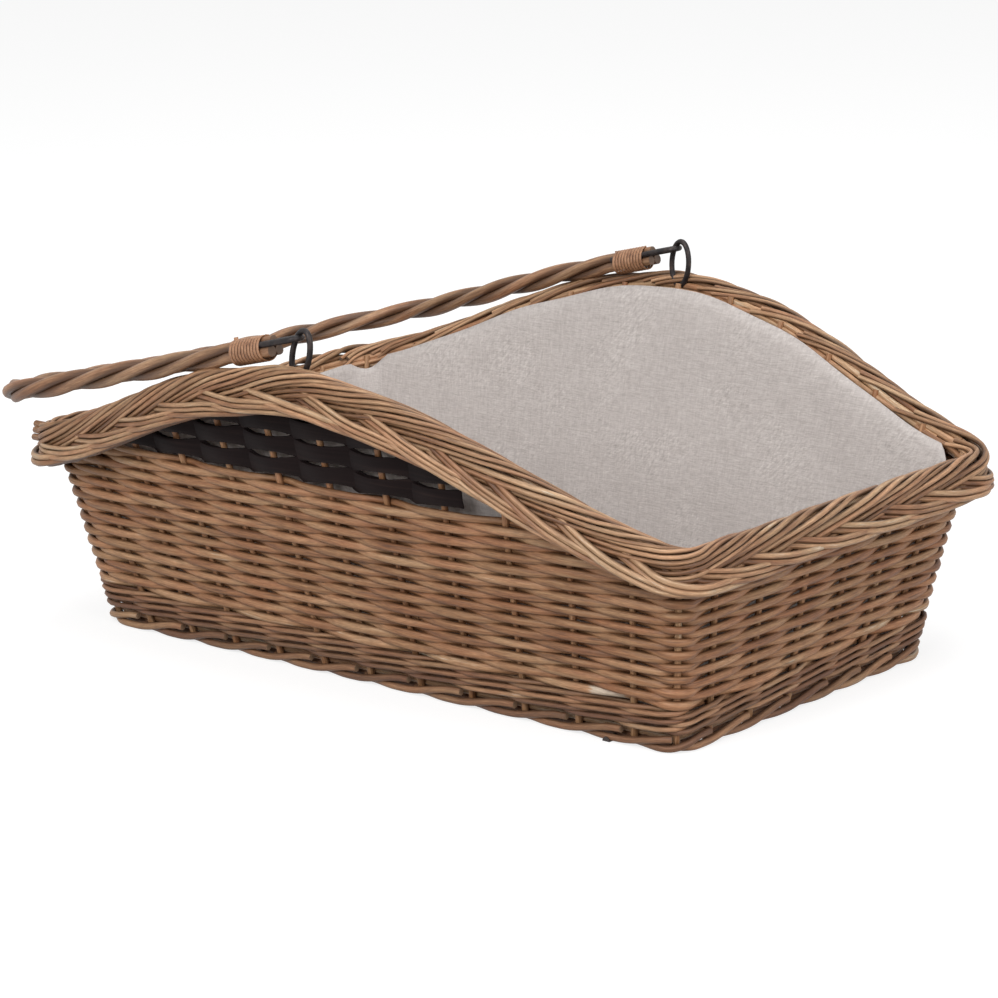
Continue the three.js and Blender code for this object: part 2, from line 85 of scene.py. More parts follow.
def addRamp(tree, factor, stops):
    node = addNode(tree, "ValToRGB", {"Fac": factor})
    elements = node.color_ramp.elements
    while len(elements) < len(stops):
        elements.new(0.5)
    for element, (position, colour) in zip(elements, stops):
        element.position = position
        element.color = (*colour, 1)
    return node.outputs["Color"]


def emptyTree(name):
    material = bpy.data.materials.new(name)
    material.use_nodes = True
    material.node_tree.nodes.clear()
    return material, material.node_tree


def addSurface(tree, finish, colour, height, rough, **more):
    bump = addNode(tree, "Bump", {"Strength": finish["bump"], "Distance": finish["relief"], "Height": height})
    rough = addMath(tree, "ADD", addMath(tree, "MULTIPLY", rough, finish["roughSpread"]), finish["roughness"])
    inputs = {"Base Color": colour, "Roughness": rough, "Normal": bump.outputs[0]}
    shader = addNode(tree, "BsdfPrincipled", {**inputs, **more})
    addNode(tree, "OutputMaterial", {"Surface": shader.outputs[0]})


# Stage: camera, floor, world and lamps
stage = dict(
    cameraPlace=(1.6119, -1.9835, 0.7410), azimuth=39.195, elevation=14.032, roll=-0.417, lens=131.2, clipEnd=200,
    floorSize=60.0, floorColour=(0.36, 0.36, 0.36, 1), floorGlow=0.75, white=(1, 1, 1, 1), worldLight=0.42,
    lampAim=(0, 0, 0.1),
    lamps=(  # name, place, size and power
        ("keyLamp", (0.3, -3.0, 2.0), 2.2, 74),
        ("topLamp", (0.2, 0.3, 3.2), 2.6, 40),
        ("sideLamp", (2.9, -0.6, 1.5), 1.8, 40),
    ),
)


def backgroundRays(tree):
    path = addNode(tree, "LightPath")
    seen = addMath(tree, "ADD", path.outputs["Is Camera Ray"], path.outputs["Is Glossy Ray"])
    return addMath(tree, "ADD", seen, path.outputs["Is Transmission Ray"], clamp=True)


def setCamera():
    camera = bpy.data.cameras.new("camera")
    camera.lens = stage["lens"]
    camera.clip_end = stage["clipEnd"]
    holder = bpy.data.objects.new("camera", camera)
    turn, lift, roll = (math.radians(stage[key]) for key in ("azimuth", "elevation", "roll"))
    back = Vector((math.sin(turn) * math.cos(lift), -math.cos(turn) * math.cos(lift), math.sin(lift)))
    right = Vector((math.cos(turn), math.sin(turn), 0))
    up = back.cross(right)
    tiltedRight = math.cos(roll) * right + math.sin(roll) * up
    tiltedUp = math.cos(roll) * up - math.sin(roll) * right
    facing = Matrix((tiltedRight, tiltedUp, back)).transposed().to_4x4()
    holder.matrix_world = Matrix.Translation(stage["cameraPlace"]) @ facing
    scene.collection.objects.link(holder)
    scene.camera = holder


def layFloor():
    material, tree = emptyTree("floorPaper")
    paper = addNode(tree, "BsdfDiffuse", {"Color": stage["floorColour"]})
    strength = addMath(tree, "MULTIPLY", backgroundRays(tree), stage["floorGlow"])
    glow = addNode(tree, "Emission", {"Color": stage["white"], "Strength": strength})
    both = addNode(tree, "AddShader", {0: paper.outputs[0], 1: glow.outputs[0]})
    addNode(tree, "OutputMaterial", {"Surface": both.outputs[0]})
    bm = bmesh.new()
    bmesh.ops.create_grid(bm, x_segments=1, y_segments=1, size=stage["floorSize"])
    floor = meshPiece("floor", bm, material)


def lightStage():
    world = bpy.data.worlds.new("studio")
    world.use_nodes = True
    scene.world = world
    tree = world.node_tree
    tree.nodes.clear()
    strength = addMath(tree, "MAXIMUM", backgroundRays(tree), stage["worldLight"])
    light = addNode(tree, "Background", {"Color": stage["white"], "Strength": strength})
    addNode(tree, "OutputWorld", {"Surface": light.outputs[0]})
    for name, spot, size, power in stage["lamps"]:
        lamp = bpy.data.lights.new(name, "AREA")
        lamp.shape = "DISK"
        lamp.size = size
        lamp.energy = power
        holder = bpy.data.objects.new(name, lamp)
        holder.location = spot
        holder.rotation_euler = (Vector(stage["lampAim"]) - Vector(spot)).to_track_quat("-Z", "Y").to_euler()
        scene.collection.objects.link(holder)


# Form of the basket, shared by all its rods
form = dict(
    rimLength=0.608, rimWidth=0.388, peakWidth=0.456, cornerHeight=0.149, humpRise=0.088, humpRunOut=0.031,
    baseLength=0.545, baseWidth=0.312, baseCorner=0.038, rimCorner=0.043, nearCorner=0.0124, wallHalf=0.0084,
    stakeInset=0.01439, longStakes=11, shortStakes=6, topSteps=1600,
    borderRoom=0.014,  # left below the border's top line at the ends of the side rows
    worn=0.0019, wornPlace=0.050, wornReach=0.024, wornShare=0.9,  # dent in the border where the handle comes to lie
)
cornerHeight = form["cornerHeight"]
peakHeight = cornerHeight + form["humpRise"]
humpHalf = form["rimLength"] / 2 + form["humpRunOut"]
baseHalfLength = form["baseLength"] / 2 - form["wallHalf"]
baseHalfWidth = form["baseWidth"] / 2 - form["wallHalf"]
lowCorner = form["baseCorner"] - form["wallHalf"]
highCorner = form["rimCorner"] - form["stakeInset"]
shortLean = (form["rimLength"] / 2 - form["stakeInset"] - baseHalfLength) / cornerHeight
cornerLean = (form["rimWidth"] / 2 - form["stakeInset"] - baseHalfWidth) / cornerHeight
peakLean = (form["peakWidth"] / 2 - form["stakeInset"] - baseHalfWidth) / peakHeight
midCorner = (lowCorner + highCorner) / 2
longRun = baseHalfLength + shortLean * cornerHeight / 2 - midCorner
shortRun = baseHalfWidth + cornerLean * cornerHeight / 2 - midCorner
cornerRun = math.pi / 2 * midCorner
runs = [(longRun, -90, form["longStakes"]), (shortRun, 0, form["shortStakes"]),
        (longRun, 90, form["longStakes"]), (shortRun, 180, form["shortStakes"])]
girth = sum(2 * half + cornerRun for half, angle, count in runs)
anyPhase = 6.28  # range of a random phase


def placesAt(distance):  # distance round the wall, counter-clockwise from the front left corner
    distance = np.mod(np.asarray(distance, float), girth)
    fx, fy, nx, ny = (np.zeros_like(distance) for _ in range(4))  # shares of the straight runs, and the way outwards
    start = 0.0
    for half, angle, count in runs:
        end = start + 2 * half + cornerRun
        here = (distance >= start) & (distance < end)
        share = np.clip((distance[here] - start) / half - 1, -1, 1)
        bend = np.clip((distance[here] - start - 2 * half) / cornerRun, 0, 1)
        facing = math.radians(angle)
        outX, outY = round(math.cos(facing)), round(math.sin(facing))
        fx[here] = outX if outX else -outY * share
        fy[here] = outY if outY else outX * share
        nx[here] = np.cos(facing + bend * math.pi / 2)
        ny[here] = np.sin(facing + bend * math.pi / 2)
        start = end
    return fx, fy, nx, ny


def wallPoint(places, height, out=0.0):
    fx, fy, nx, ny = places
    height = height + 0 * fx
    rise = height / cornerHeight
    near = (fx > 0) & (fy < 0)  # this corner is bent sharper than the others
    corner = np.where(near, form["nearCorner"], lowCorner * (1 - rise) + highCorner * rise)
    lean = cornerLean + (peakLean - cornerLean) * (1 - fx ** 2)
    x = fx * (baseHalfLength + shortLean * height - corner) + nx * (corner + out)
    y = fy * (baseHalfWidth + lean * height - corner) + ny * (corner + out)
    return np.stack([x, y, height], axis=-1)


def wallOutward(places):  # the way out of the wall, level
    return np.stack([places[2], places[3], 0 * places[2]], axis=-1)


def crestOf(places):  # height of the border's top line
    x = wallPoint(places, cornerHeight, form["stakeInset"])[..., 0]
    return cornerHeight + form["humpRise"] / 2 * (1 + np.cos(np.pi * np.minimum(np.abs(x) / humpHalf, 1)))


def borderPoint(places, offset, depth):
    points = wallPoint(places, crestOf(places), form["stakeInset"] + offset)
    worn = form["worn"] * np.exp(-((np.abs(points[..., 0]) - form["wornPlace"]) / form["wornReach"]) ** 2)
    points[..., 2] -= depth + worn * (np.abs(places[0]) < form["wornShare"])
    return points


def stakeDistances():
    found, start = [], 0.0
    for half, angle, count in runs:
        span = 2 * half + cornerRun
        found += [start - cornerRun / 2 + span * (i + 1) / (count + 1) for i in range(count + 1)]
        start += span
    return np.array(found)


stakesAt = stakeDistances()
stakeCount = len(stakesAt)
stakeTable = np.append(stakesAt, stakesAt[0] + girth)


def distanceOf(gaps):  # a count of stake gaps, with parts of a gap, to a distance round the wall
    rounds = np.floor(gaps / stakeCount)
    return np.interp(gaps - rounds * stakeCount, np.arange(stakeCount + 1), stakeTable) + rounds * girth


def gapsOf(distance):
    return np.interp(distance, stakeTable, np.arange(stakeCount + 1))


def lengthsAlong(points):
    return np.append(0, np.cumsum(np.linalg.norm(np.diff(points, axis=0), axis=1)))


topSamples = np.linspace(0, girth, form["topSteps"] + 1)
topLengths = lengthsAlong(borderPoint(placesAt(topSamples), 0, 0))
topGirth = topLengths[-1]


def topPlaces(length):  # even spacing along the border's top line
    rounds = np.floor(length / topGirth)
    return placesAt(np.interp(length - rounds * topGirth, topLengths, topSamples))


def sideReach(top):  # how far along a long side the border leaves room below it
    rise = (top + form["borderRoom"] - cornerHeight) / form["humpRise"]
    return humpHalf / math.pi * math.acos(min(max(2 * rise - 1, -1), 1))


def sideEnds(side, left, right, height):  # two places on a long side, as stake gaps
    half = baseHalfLength + shortLean * height - (lowCorner + (highCorner - lowCorner) * height / cornerHeight)
    share = np.clip(np.array([left, right]) / half, -1, 1)
    front = longRun * (1 + share)
    back = 3 * longRun + 2 * shortRun + 2 * cornerRun - share * longRun
    return sorted(gapsOf(front if side == "front" else back))


def wander(count, amount, waves, dice):  # a soft random drift that meets itself at the ends
    turn = np.linspace(0, 2 * np.pi, count)
    parts = [dice.uniform(-1, 1) * np.sin(k * turn + dice.uniform(0, anyPhase)) for k in range(1, waves + 1)]
    return amount * np.sum(parts, axis=0) / math.sqrt(waves)


def smooth(share):
    share = np.clip(share, 0, 1)
    return share * share * (3 - 2 * share)


def lieOf(row):  # rows go outside and inside the stakes by turns
    return 1 if row % 2 else -1


def between(joints, whole):  # from each joint to the next, all round
    return zip(joints, joints[1:] + [joints[0] + whole])


# Rods: every willow rod or wire is a round curve, made a mesh with its own length and tone kept on it
def newRod(path, radius, tone, closed=False, outward=None):  # outward: the side that shows; the others, in the gaps, get painted shade
    path = np.asarray(path, float)
    each = np.ones(len(path))
    tone = tone * each
    outward = np.zeros_like(path) if outward is None else outward
    return dict(path=path, radius=radius * each, tone=tone, seed=tone[0] * each, along=lengthsAlong(path),
                closed=closed, outward=outward)


def wallRod(places, height, out, radius, tone):
    return newRod(wallPoint(places, height, out), radius, tone, outward=wallOutward(places))


def markRods(mesh, rods, sides, tall):  # keeps on the mesh what the finishes read
    radius, tone, seed, along, middle, outward = (
        np.concatenate([np.repeat(rod[key], sides, axis=0) for rod in rods])
        for key in ("radius", "tone", "seed", "along", "path", "outward"))
    turn = 2 * np.pi * np.arange(sides) / sides
    ring = np.tile(np.stack([np.cos(turn), np.sin(turn)], axis=-1), (len(radius) // sides, 1))
    coord = np.c_[ring * radius[:, None], along]
    spots = np.empty(3 * len(mesh.vertices))
    mesh.vertices.foreach_get("co", spots)
    aside = spots.reshape(-1, 3) - middle
    facing = np.sum(aside * outward, axis=1) / np.linalg.norm(aside, axis=1)
    # the sides turned away from outward, into the gaps between rods, get painted shade
    paintedShade = np.where(np.any(outward, axis=1), np.clip(1 - facing, 0, 1), 0)
    mesh.attributes.new("rodCoord", "FLOAT_VECTOR", "POINT").data.foreach_set("vector", coord.ravel())
    for name, values in (("rodTone", tone), ("rodSeed", seed), ("rodPaintedShade", paintedShade)):
        mesh.attributes.new(name, "FLOAT", "POINT").data.foreach_set("value", values)
    if tall != 1:  # pressed rods, higher than they are deep
        spread = np.array([1 / tall, 1 / tall, tall]) ** 0.5
        mesh.vertices.foreach_set("co", (middle + aside * spread).ravel())


def rodPiece(name, rods, material, sides=8, tall=1):
    curve = bpy.data.curves.new(name, "CURVE")
    curve.dimensions = "3D"
    curve.fill_mode = "FULL"
    curve.bevel_depth = 1.0
    curve.bevel_resolution = (sides - 4) // 2
    for rod in rods:
        spline = curve.splines.new("POLY")
        spline.points.add(len(rod["path"]) - 1)
        spline.points.foreach_set("co", np.c_[rod["path"], np.ones(len(rod["path"]))].ravel())
        spline.points.foreach_set("radius", rod["radius"])
        spline.use_cyclic_u = rod["closed"]
    holder = bpy.data.objects.new(name, curve)
    mesh = bpy.data.meshes.new_from_object(holder)
    bpy.data.objects.remove(holder)
    bpy.data.curves.remove(curve)
    markRods(mesh, rods, sides, tall)

    bm = bmesh.new()
    bm.from_mesh(mesh)
    bpy.data.meshes.remove(mesh)
    cut = bm.faces.layers.float.new("cutEnd")
    for face in bm.faces:
        face.smooth = True
    for face in fillHoles(bm):
        face[cut] = 1.0
        face.smooth = False
        for edge in face.edges:
            edge.smooth = False
    bmesh.ops.recalc_face_normals(bm, faces=bm.faces)
    return meshPiece(name, bm, material)


def fillHoles(bm, below=math.inf):
    edges = [e for e in bm.edges if e.is_boundary and max(v.co.z for v in e.verts) < below]
    return bmesh.ops.holes_fill(bm, edges=edges, sides=0)["faces"]


def meshPiece(name, bm, material):
    mesh = bpy.data.meshes.new(name)
    bm.to_mesh(mesh)
    bm.free()
    mesh.materials.append(material)
    piece = bpy.data.objects.new(name, mesh)
    scene.collection.objects.link(piece)
    return piece


def thicken(piece, thickness):
    wall = piece.modifiers.new("thickness", "SOLIDIFY")
    wall.thickness = thickness
    wall.offset = 0


def place(piece, body, slot, *nodes):
    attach(piece, body)
    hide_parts(*nodes)
    print(f"{piece.name}: {len(piece.data.polygons)} faces")


# Willow: a rod's shade comes from its tone, streaks and patches, and runs from dark to rubbed bare; its sides towards
# other rods get painted shade
bark = dict(
    shares=(0.62, 1.0, 0.55), even=0.6, stops=(0.12, 0.45, 0.83, 1.0),
    fibre=((0.3, (0.68, 0.65, 0.62)), (0.7, (1.18, 1.18, 1.18))),
    tint=((0.36, (1.07, 0.97, 0.92)), (0.62, (0.97, 1.02, 1.0))),
    scar=0.55, scarShade=0.4, paintedShadeFrom=0.14, paintedShadeTo=0.9, paintedShadeMost=0.8, paintedShadeDim=0.6, heights=(1.1, 0.35, 0.5),
)
finishes = dict(
    wallWillow=dict(dark=(0.108, 0.043, 0.016), mid=(0.296, 0.14, 0.063), pale=(0.49, 0.283, 0.157),
                    bare=(0.62, 0.53, 0.43), pith=(0.2, 0.12, 0.075), bump=0.5, roughness=0.42),
    borderWillow=dict(dark=(0.084, 0.037, 0.016), mid=(0.275, 0.139, 0.068), pale=(0.53, 0.325, 0.19),
                      bare=(0.6, 0.5, 0.4), pith=(0.13, 0.085, 0.06), bump=0.45, roughness=0.4),
    footWillow=dict(dark=(0.125, 0.058, 0.029), mid=(0.245, 0.12, 0.06), pale=(0.41, 0.23, 0.125),
                    bare=(0.5, 0.4, 0.32), pith=(0.3, 0.19, 0.12), bump=0.5, roughness=0.45),
    # near black: painted shade, for the sticks' ends that show under the foot
    stickWillowPaintedShade=dict(dark=(0.02, 0.014, 0.012), mid=(0.04, 0.025, 0.02), pale=(0.12, 0.07, 0.045),
                     bare=(0.2, 0.14, 0.1), pith=(0.03, 0.02, 0.017), bump=0.5, roughness=0.5),
    handleWillow=dict(dark=(0.105, 0.046, 0.021), mid=(0.24, 0.122, 0.063), pale=(0.43, 0.258, 0.152),
                      bare=(0.5, 0.4, 0.3), pith=(0.14, 0.085, 0.055), bump=0.4, roughness=0.4),
)
for finish in finishes.values():
    finish.update(relief=0.0006, roughSpread=0.24)
grain = dict(
    seedStep=(31.0, 17.0, 53.0), roughness=0.6, scars=(190.0, 190.0, 15.0), scarFrom=0.04, scarTo=0.17,
    noises=(("Streak", (760.0, 760.0, 42.0), 4.0), ("Fibre", (1900.0, 1900.0, 150.0), 2.0),
            ("Patch", (60.0, 60.0, 13.0), 2.0)),
)


def grainGroup():  # streaks, fibres, slow patches and bud scars, each rod with its own
    group = bpy.data.node_groups.new("rodGrain", "ShaderNodeTree")
    for label, kind in (("Coord", "Vector"), ("Seed", "Float")):
        group.interface.new_socket(label, in_out="INPUT", socket_type="NodeSocket" + kind)
    for label in ("Streak", "Fibre", "Patch", "Scar"):
        group.interface.new_socket(label, in_out="OUTPUT", socket_type="NodeSocketFloat")
    given, result = group.nodes.new("NodeGroupInput"), group.nodes.new("NodeGroupOutput")
    offset = addNode(group, "VectorMath", {0: grain["seedStep"], "Scale": given.outputs["Seed"]}, operation="SCALE")

    def ownCoord(scale):
        inputs = {0: stretched(group, given.outputs["Coord"], scale), 1: offset.outputs[0]}
        return addNode(group, "VectorMath", inputs, operation="ADD").outputs[0]

    for label, scale, detail in grain["noises"]:
        noise = addNoise(group, ownCoord(scale), detail, roughness=grain["roughness"])
        group.links.new(noise, result.inputs[label])
    cells = addNode(group, "TexVoronoi", {"Vector": ownCoord(grain["scars"]), "Scale": 1.0, "Randomness": 1.0})
    near = {"Value": cells.outputs["Distance"], "From Min": grain["scarFrom"], "From Max": grain["scarTo"],
            "To Min": 1.0, "To Max": 0.0}
    scar = addNode(group, "MapRange", near, interpolation_type="SMOOTHSTEP")
    group.links.new(scar.outputs[0], result.inputs["Scar"])
    return group


def willowMaterial(name, rodGrain):
    finish = finishes[name]
    material, tree = emptyTree(name)

    def kept(attribute, output="Fac"):
        return addNode(tree, "Attribute", attribute_name=attribute).outputs[output]

    def darker(share):
        return (*(share * c for c in finish["dark"]), 1)

    inputs = {"Coord": kept("rodCoord", "Vector"), "Seed": kept("rodSeed")}
    marks = addNode(tree, "Group", inputs, node_tree=rodGrain).outputs
    streak, fibre, patch, scar = (marks[key] for key in ("Streak", "Fibre", "Patch", "Scar"))
    shade = weightedSum(tree, *zip((kept("rodTone"), streak, patch), bark["shares"]))
    shade = addMath(tree, "SUBTRACT", shade, bark["even"])
    stops = list(zip(bark["stops"], (finish[key] for key in ("dark", "mid", "pale", "bare"))))
    colour = addRamp(tree, shade, stops)
    for source, stops in ((fibre, bark["fibre"]), (patch, bark["tint"])):
        colour = mixColour(tree, 1.0, colour, addRamp(tree, source, stops), "MULTIPLY")
    colour = mixColour(tree, addMath(tree, "MULTIPLY", scar, bark["scar"]), colour, darker(bark["scarShade"]))
    # painted shade on the sides of the rods that face into the gaps
    paintedShade = addNode(tree, "MapRange", {"Value": kept("rodPaintedShade"), "From Min": bark["paintedShadeFrom"], "From Max": bark["paintedShadeTo"],
                                     "To Max": bark["paintedShadeMost"]})
    colour = mixColour(tree, paintedShade.outputs[0], colour, darker(bark["paintedShadeDim"]))
    colour = mixColour(tree, kept("cutEnd"), colour, (*finish["pith"], 1))
    height = weightedSum(tree, *zip((streak, fibre, scar), bark["heights"]))
    addSurface(tree, finish, colour, height, streak)
    return material


# Flat split strips dyed brown-black, with grain along them
splintFinish = dict(
    grain=(9.0, 420.0, 1.0), grainDetail=4.0, wear=(26.0, 40.0, 1.0), wearDetail=3.0,
    stops=((0.3, (0.006, 0.0036, 0.0038)), (0.55, (0.013, 0.008, 0.008)), (0.75, (0.029, 0.018, 0.016))),
    bump=0.35, relief=0.0004, roughness=0.48, roughSpread=0.2, gloss=0.06,
)


def splintMaterial():
    finish = splintFinish
    material, tree = emptyTree("splintWood")
    uv = addNode(tree, "UVMap", uv_map="UVMap").outputs[0]
    lines = addNoise(tree, stretched(tree, uv, finish["grain"]), finish["grainDetail"])
    wear = addNoise(tree, stretched(tree, uv, finish["wear"]), finish["wearDetail"])
    colour = addRamp(tree, weightedSum(tree, (lines, 0.5), (wear, 0.5)), finish["stops"])
    addSurface(tree, finish, colour, lines, wear, **{"Specular IOR Level": finish["gloss"]})
    return material


# Dark oxidised wire, pitted, with a little rust
ironFinish = dict(
    pits=900.0, rust=170.0, detail=3.0, metal=0.55, bump=0.3, relief=0.0003, roughness=0.3, roughSpread=0.35,
    stops=((0.4, (0.018, 0.015, 0.016)), (0.62, (0.04, 0.03, 0.028)), (0.8, (0.085, 0.05, 0.034))),
)


def ironMaterial():
    finish = ironFinish
    material, tree = emptyTree("darkIron")
    coord = addNode(tree, "TexCoord").outputs["Object"]
    pits, rust = (addNoise(tree, coord, finish["detail"], finish[key]) for key in ("pits", "rust"))
    addSurface(tree, finish, addRamp(tree, rust, finish["stops"]), pits, pits, Metallic=finish["metal"])
    return material


# Plain-weave lining, with threads along both ways of the cut, laid out in metres
clothFinish = dict(
    thread=(900.0, 170.0), slub=(420.0, 60.0), threadDetail=2.0, crinkle=(560.0, 200.0, 1.0), crinkleAngle=-38,
    broad=15.0, broadDetail=3.0, patchFrom=0.4, patchTo=0.65, shares=(0.26, 0.2, 0.12, 0.6), heights=(1.0, 0.6, 1.2),
    stops=((0.3, (0.42, 0.38, 0.36)), (0.5, (0.56, 0.512, 0.488)), (0.7, (0.70, 0.65, 0.62))),
    creases=26.0, creaseDetail=1.5, creaseBump=0.3, creaseRelief=0.006, bump=0.36, relief=0.001,
    roughness=0.95, gloss=0.1, through=0.2,
)


def clothMaterial():
    finish = clothFinish
    material, tree = emptyTree("liningCloth")
    uv = addNode(tree, "UVMap", uv_map="UVMap").outputs[0]
    coord = addNode(tree, "TexCoord").outputs["Object"]

    def threads(fine, coarse):
        scales = (fine, coarse, 1.0), (coarse, fine, 1.0)
        ways = [addNoise(tree, stretched(tree, uv, scale), finish["threadDetail"]) for scale in scales]
        return addMath(tree, "ADD", *ways)

    weaving, slub = threads(*finish["thread"]), threads(*finish["slub"])
    angle = math.radians(finish["crinkleAngle"])
    askew = addNode(tree, "VectorRotate", {"Vector": uv, "Angle": angle}, rotation_type="Z_AXIS").outputs[0]
    crinkle = addNoise(tree, stretched(tree, askew, finish["crinkle"]), finish["threadDetail"])
    broad = addNoise(tree, coord, finish["broadDetail"], finish["broad"])
    patch = addNode(tree, "MapRange", {"Value": broad, "From Min": finish["patchFrom"], "From Max": finish["patchTo"]},
                    interpolation_type="SMOOTHSTEP")
    crinkle = addMath(tree, "MULTIPLY", addMath(tree, "SUBTRACT", crinkle, 0.5), patch.outputs[0])
    mixed = weightedSum(tree, *zip((weaving, slub, broad, crinkle), finish["shares"]))
    colour = addRamp(tree, mixed, finish["stops"])
    height = weightedSum(tree, *zip((weaving, slub, crinkle), finish["heights"]))
    creases = addNoise(tree, coord, finish["creaseDetail"], finish["creases"])
    crumple = addNode(tree, "Bump", {"Strength": finish["creaseBump"], "Distance": finish["creaseRelief"],
                                     "Height": creases})
    bump = addNode(tree, "Bump", {"Strength": finish["bump"], "Distance": finish["relief"], "Height": height,
                                  "Normal": crumple.outputs[0]})
    shader = addNode(tree, "BsdfPrincipled", {"Base Color": colour, "Roughness": finish["roughness"],
                                              "Normal": bump.outputs[0], "Specular IOR Level": finish["gloss"]})
    through = addNode(tree, "BsdfTranslucent", {"Color": colour, "Normal": bump.outputs[0]})
    both = addNode(tree, "MixShader", {0: finish["through"], 1: shader.outputs[0], 2: through.outputs[0]})
    addNode(tree, "OutputMaterial", {"Surface": both.outputs[0]})
    return material


# Flat cane, slightly shiny
caneFinish = dict(
    fine=600.0, fineDetail=3.0, broad=120.0, broadDetail=2.0, bump=0.3, relief=0.0003, roughness=0.36, roughSpread=0.2,
    stops=((0.3, (0.165, 0.07, 0.031)), (0.5, (0.31, 0.152, 0.077)), (0.7, (0.44, 0.24, 0.135))),
)


def caneMaterial():
    finish = caneFinish
    material, tree = emptyTree("bindingCane")
    coord = addNode(tree, "TexCoord").outputs["Object"]
    fine, broad = (addNoise(tree, coord, finish[key + "Detail"], finish[key]) for key in ("fine", "broad"))
    colour = addRamp(tree, weightedSum(tree, (fine, 0.5), (broad, 0.5)), finish["stops"])
    addSurface(tree, finish, colour, fine, fine)
    return material


# Base: crosswise split sticks, the woven mat on them and the stakes of the wall
base = dict(
    sticks=5, stickInset=0.06, stickHalf=0.008, stickHeight=0.0092, stickReach=0.1480, stickDrift=(0.0006, 3),
    stickSteps=61, stickTone=(0.2, 0.6), slimFrom=0.128, slimRun=0.014, slimRod=0.003, floorGap=0.0001,
    knobStick=5, knobReach=0.1572,  # this stick shows its end under the near foot
    matHeight=0.0115, matRod=0.0024, matSpread=(0.9, 1.08), matPitch=0.0052, matSwing=0.0023, matHalfWave=0.1,
    matLift=(0.0003, 3), matSway=(0.0004, 3), matInset=0.004, matEnd=0.003, matSteps=81,
    crossRods=(-0.25, -0.15, -0.05, 0.05, 0.15, 0.25), crossRod=0.0019, crossSteps=21,
    stakeRod=0.0025, stakeTaper=(1.04, 0.92), stakeFoot=0.006, stakeHead=0.008, stakeDrift=(0.0003, 2),
    stakeSteps=24, stakeTone=(0.3, 0.8), seed=5,
)


def baseSticks(material):
    dice = random.Random(base["seed"])
    spacing = (form["baseLength"] - 2 * base["stickInset"]) / (base["sticks"] - 1)
    for number in range(1, base["sticks"] + 1):
        x = (number - (base["sticks"] + 1) / 2) * spacing
        nearReach = base["knobReach" if number == base["knobStick"] else "stickReach"]
        y = np.linspace(-nearReach, base["stickReach"], base["stickSteps"])
        slim = smooth((np.abs(y) - base["slimFrom"]) / base["slimRun"])
        radius = base["stickHalf"] * (1 - slim) + base["slimRod"] * slim
        drift = wander(len(y), *base["stickDrift"], dice)
        path = np.stack([x + drift * (1 - slim), y, 0 * y], axis=-1)
        stick = rodPiece(f"baseStick{number}", [newRod(path, radius, dice.uniform(*base["stickTone"]))], material, 12)
        bm = bmesh.new()
        bm.from_mesh(stick.data)
        bmesh.ops.scale(bm, vec=(1, 1, base["stickHeight"] / base["stickHalf"]), verts=bm.verts)
        bmesh.ops.bisect_plane(bm, geom=bm.verts[:] + bm.edges[:] + bm.faces[:], plane_co=(0, 0, base["floorGap"]),
                               plane_no=(0, 0, 1), clear_inner=True)
        fillHoles(bm)
        bmesh.ops.recalc_face_normals(bm, faces=bm.faces)
        bm.to_mesh(stick.data)
        bm.free()
        place(stick, "basket", "dark_willow", f"base_stick_{number}")


def stakedBase(material):
    dice = random.Random(base["seed"] + 1)
    rods = []
    halfWidth = baseHalfWidth - base["matInset"]
    count = int(2 * halfWidth / base["matPitch"])
    for row in range(count + 1):
        y = -halfWidth + 2 * halfWidth * row / count
        inset = max(0.0, abs(y) - (halfWidth - lowCorner))
        reach = baseHalfLength - base["matEnd"] - (lowCorner - math.sqrt(max(lowCorner ** 2 - inset ** 2, 0)))
        x = np.linspace(-reach, reach, base["matSteps"])
        z = base["matHeight"] + lieOf(row) * base["matSwing"] * np.sin(np.pi * x / base["matHalfWave"])
        z = z + wander(len(x), *base["matLift"], dice)
        path = np.stack([x, y + wander(len(x), *base["matSway"], dice), z], axis=-1)
        rods.append(newRod(path, base["matRod"] * dice.uniform(*base["matSpread"]), dice.random()))
    for x in base["crossRods"]:
        y = np.linspace(-halfWidth, halfWidth, base["crossSteps"])
        path = np.stack([x + 0 * y, y, base["matHeight"] + 0 * y], axis=-1)
        rods.append(newRod(path, base["crossRod"], dice.random()))
    steps = base["stakeSteps"]
    for distance in stakesAt:
        places = placesAt(np.full(steps, distance))
        z = np.linspace(base["stakeFoot"], crestOf(places)[0] - base["stakeHead"], steps)
        path = wallPoint(places, z, wander(steps, *base["stakeDrift"], dice))
        radius = base["stakeRod"] * np.linspace(*base["stakeTaper"], steps)
        rods.append(newRod(path, radius, dice.uniform(*base["stakeTone"])))
    place(rodPiece("stakedBase", rods, material), "basket", "willow", "staked_base")


# Foot: short strokes that rise one over the other, each ending in a cut tip with a dark gap after it
foot = dict(
    rod=0.0027, rodSpread=(0.92, 1.05), low=0.0029, high=0.0101, highSpread=0.0006, inner=0.0012, out=0.0057,
    start=-0.12, reach=1.86, reachSpread=(-0.06, 0.04), steps=26,  # these and the next are in stake gaps
    outRun=0.6, riseFrom=0.75, riseRun=1.05, tuckFrom=1.3, tuckRun=0.5, tuck=0.0008,
    innerRods=((-0.0052, 0.0034), (-0.0050, 0.0088)), innerRod=0.0030, innerDrift=(0.0003, 9), innerSteps=240, seed=23,
)


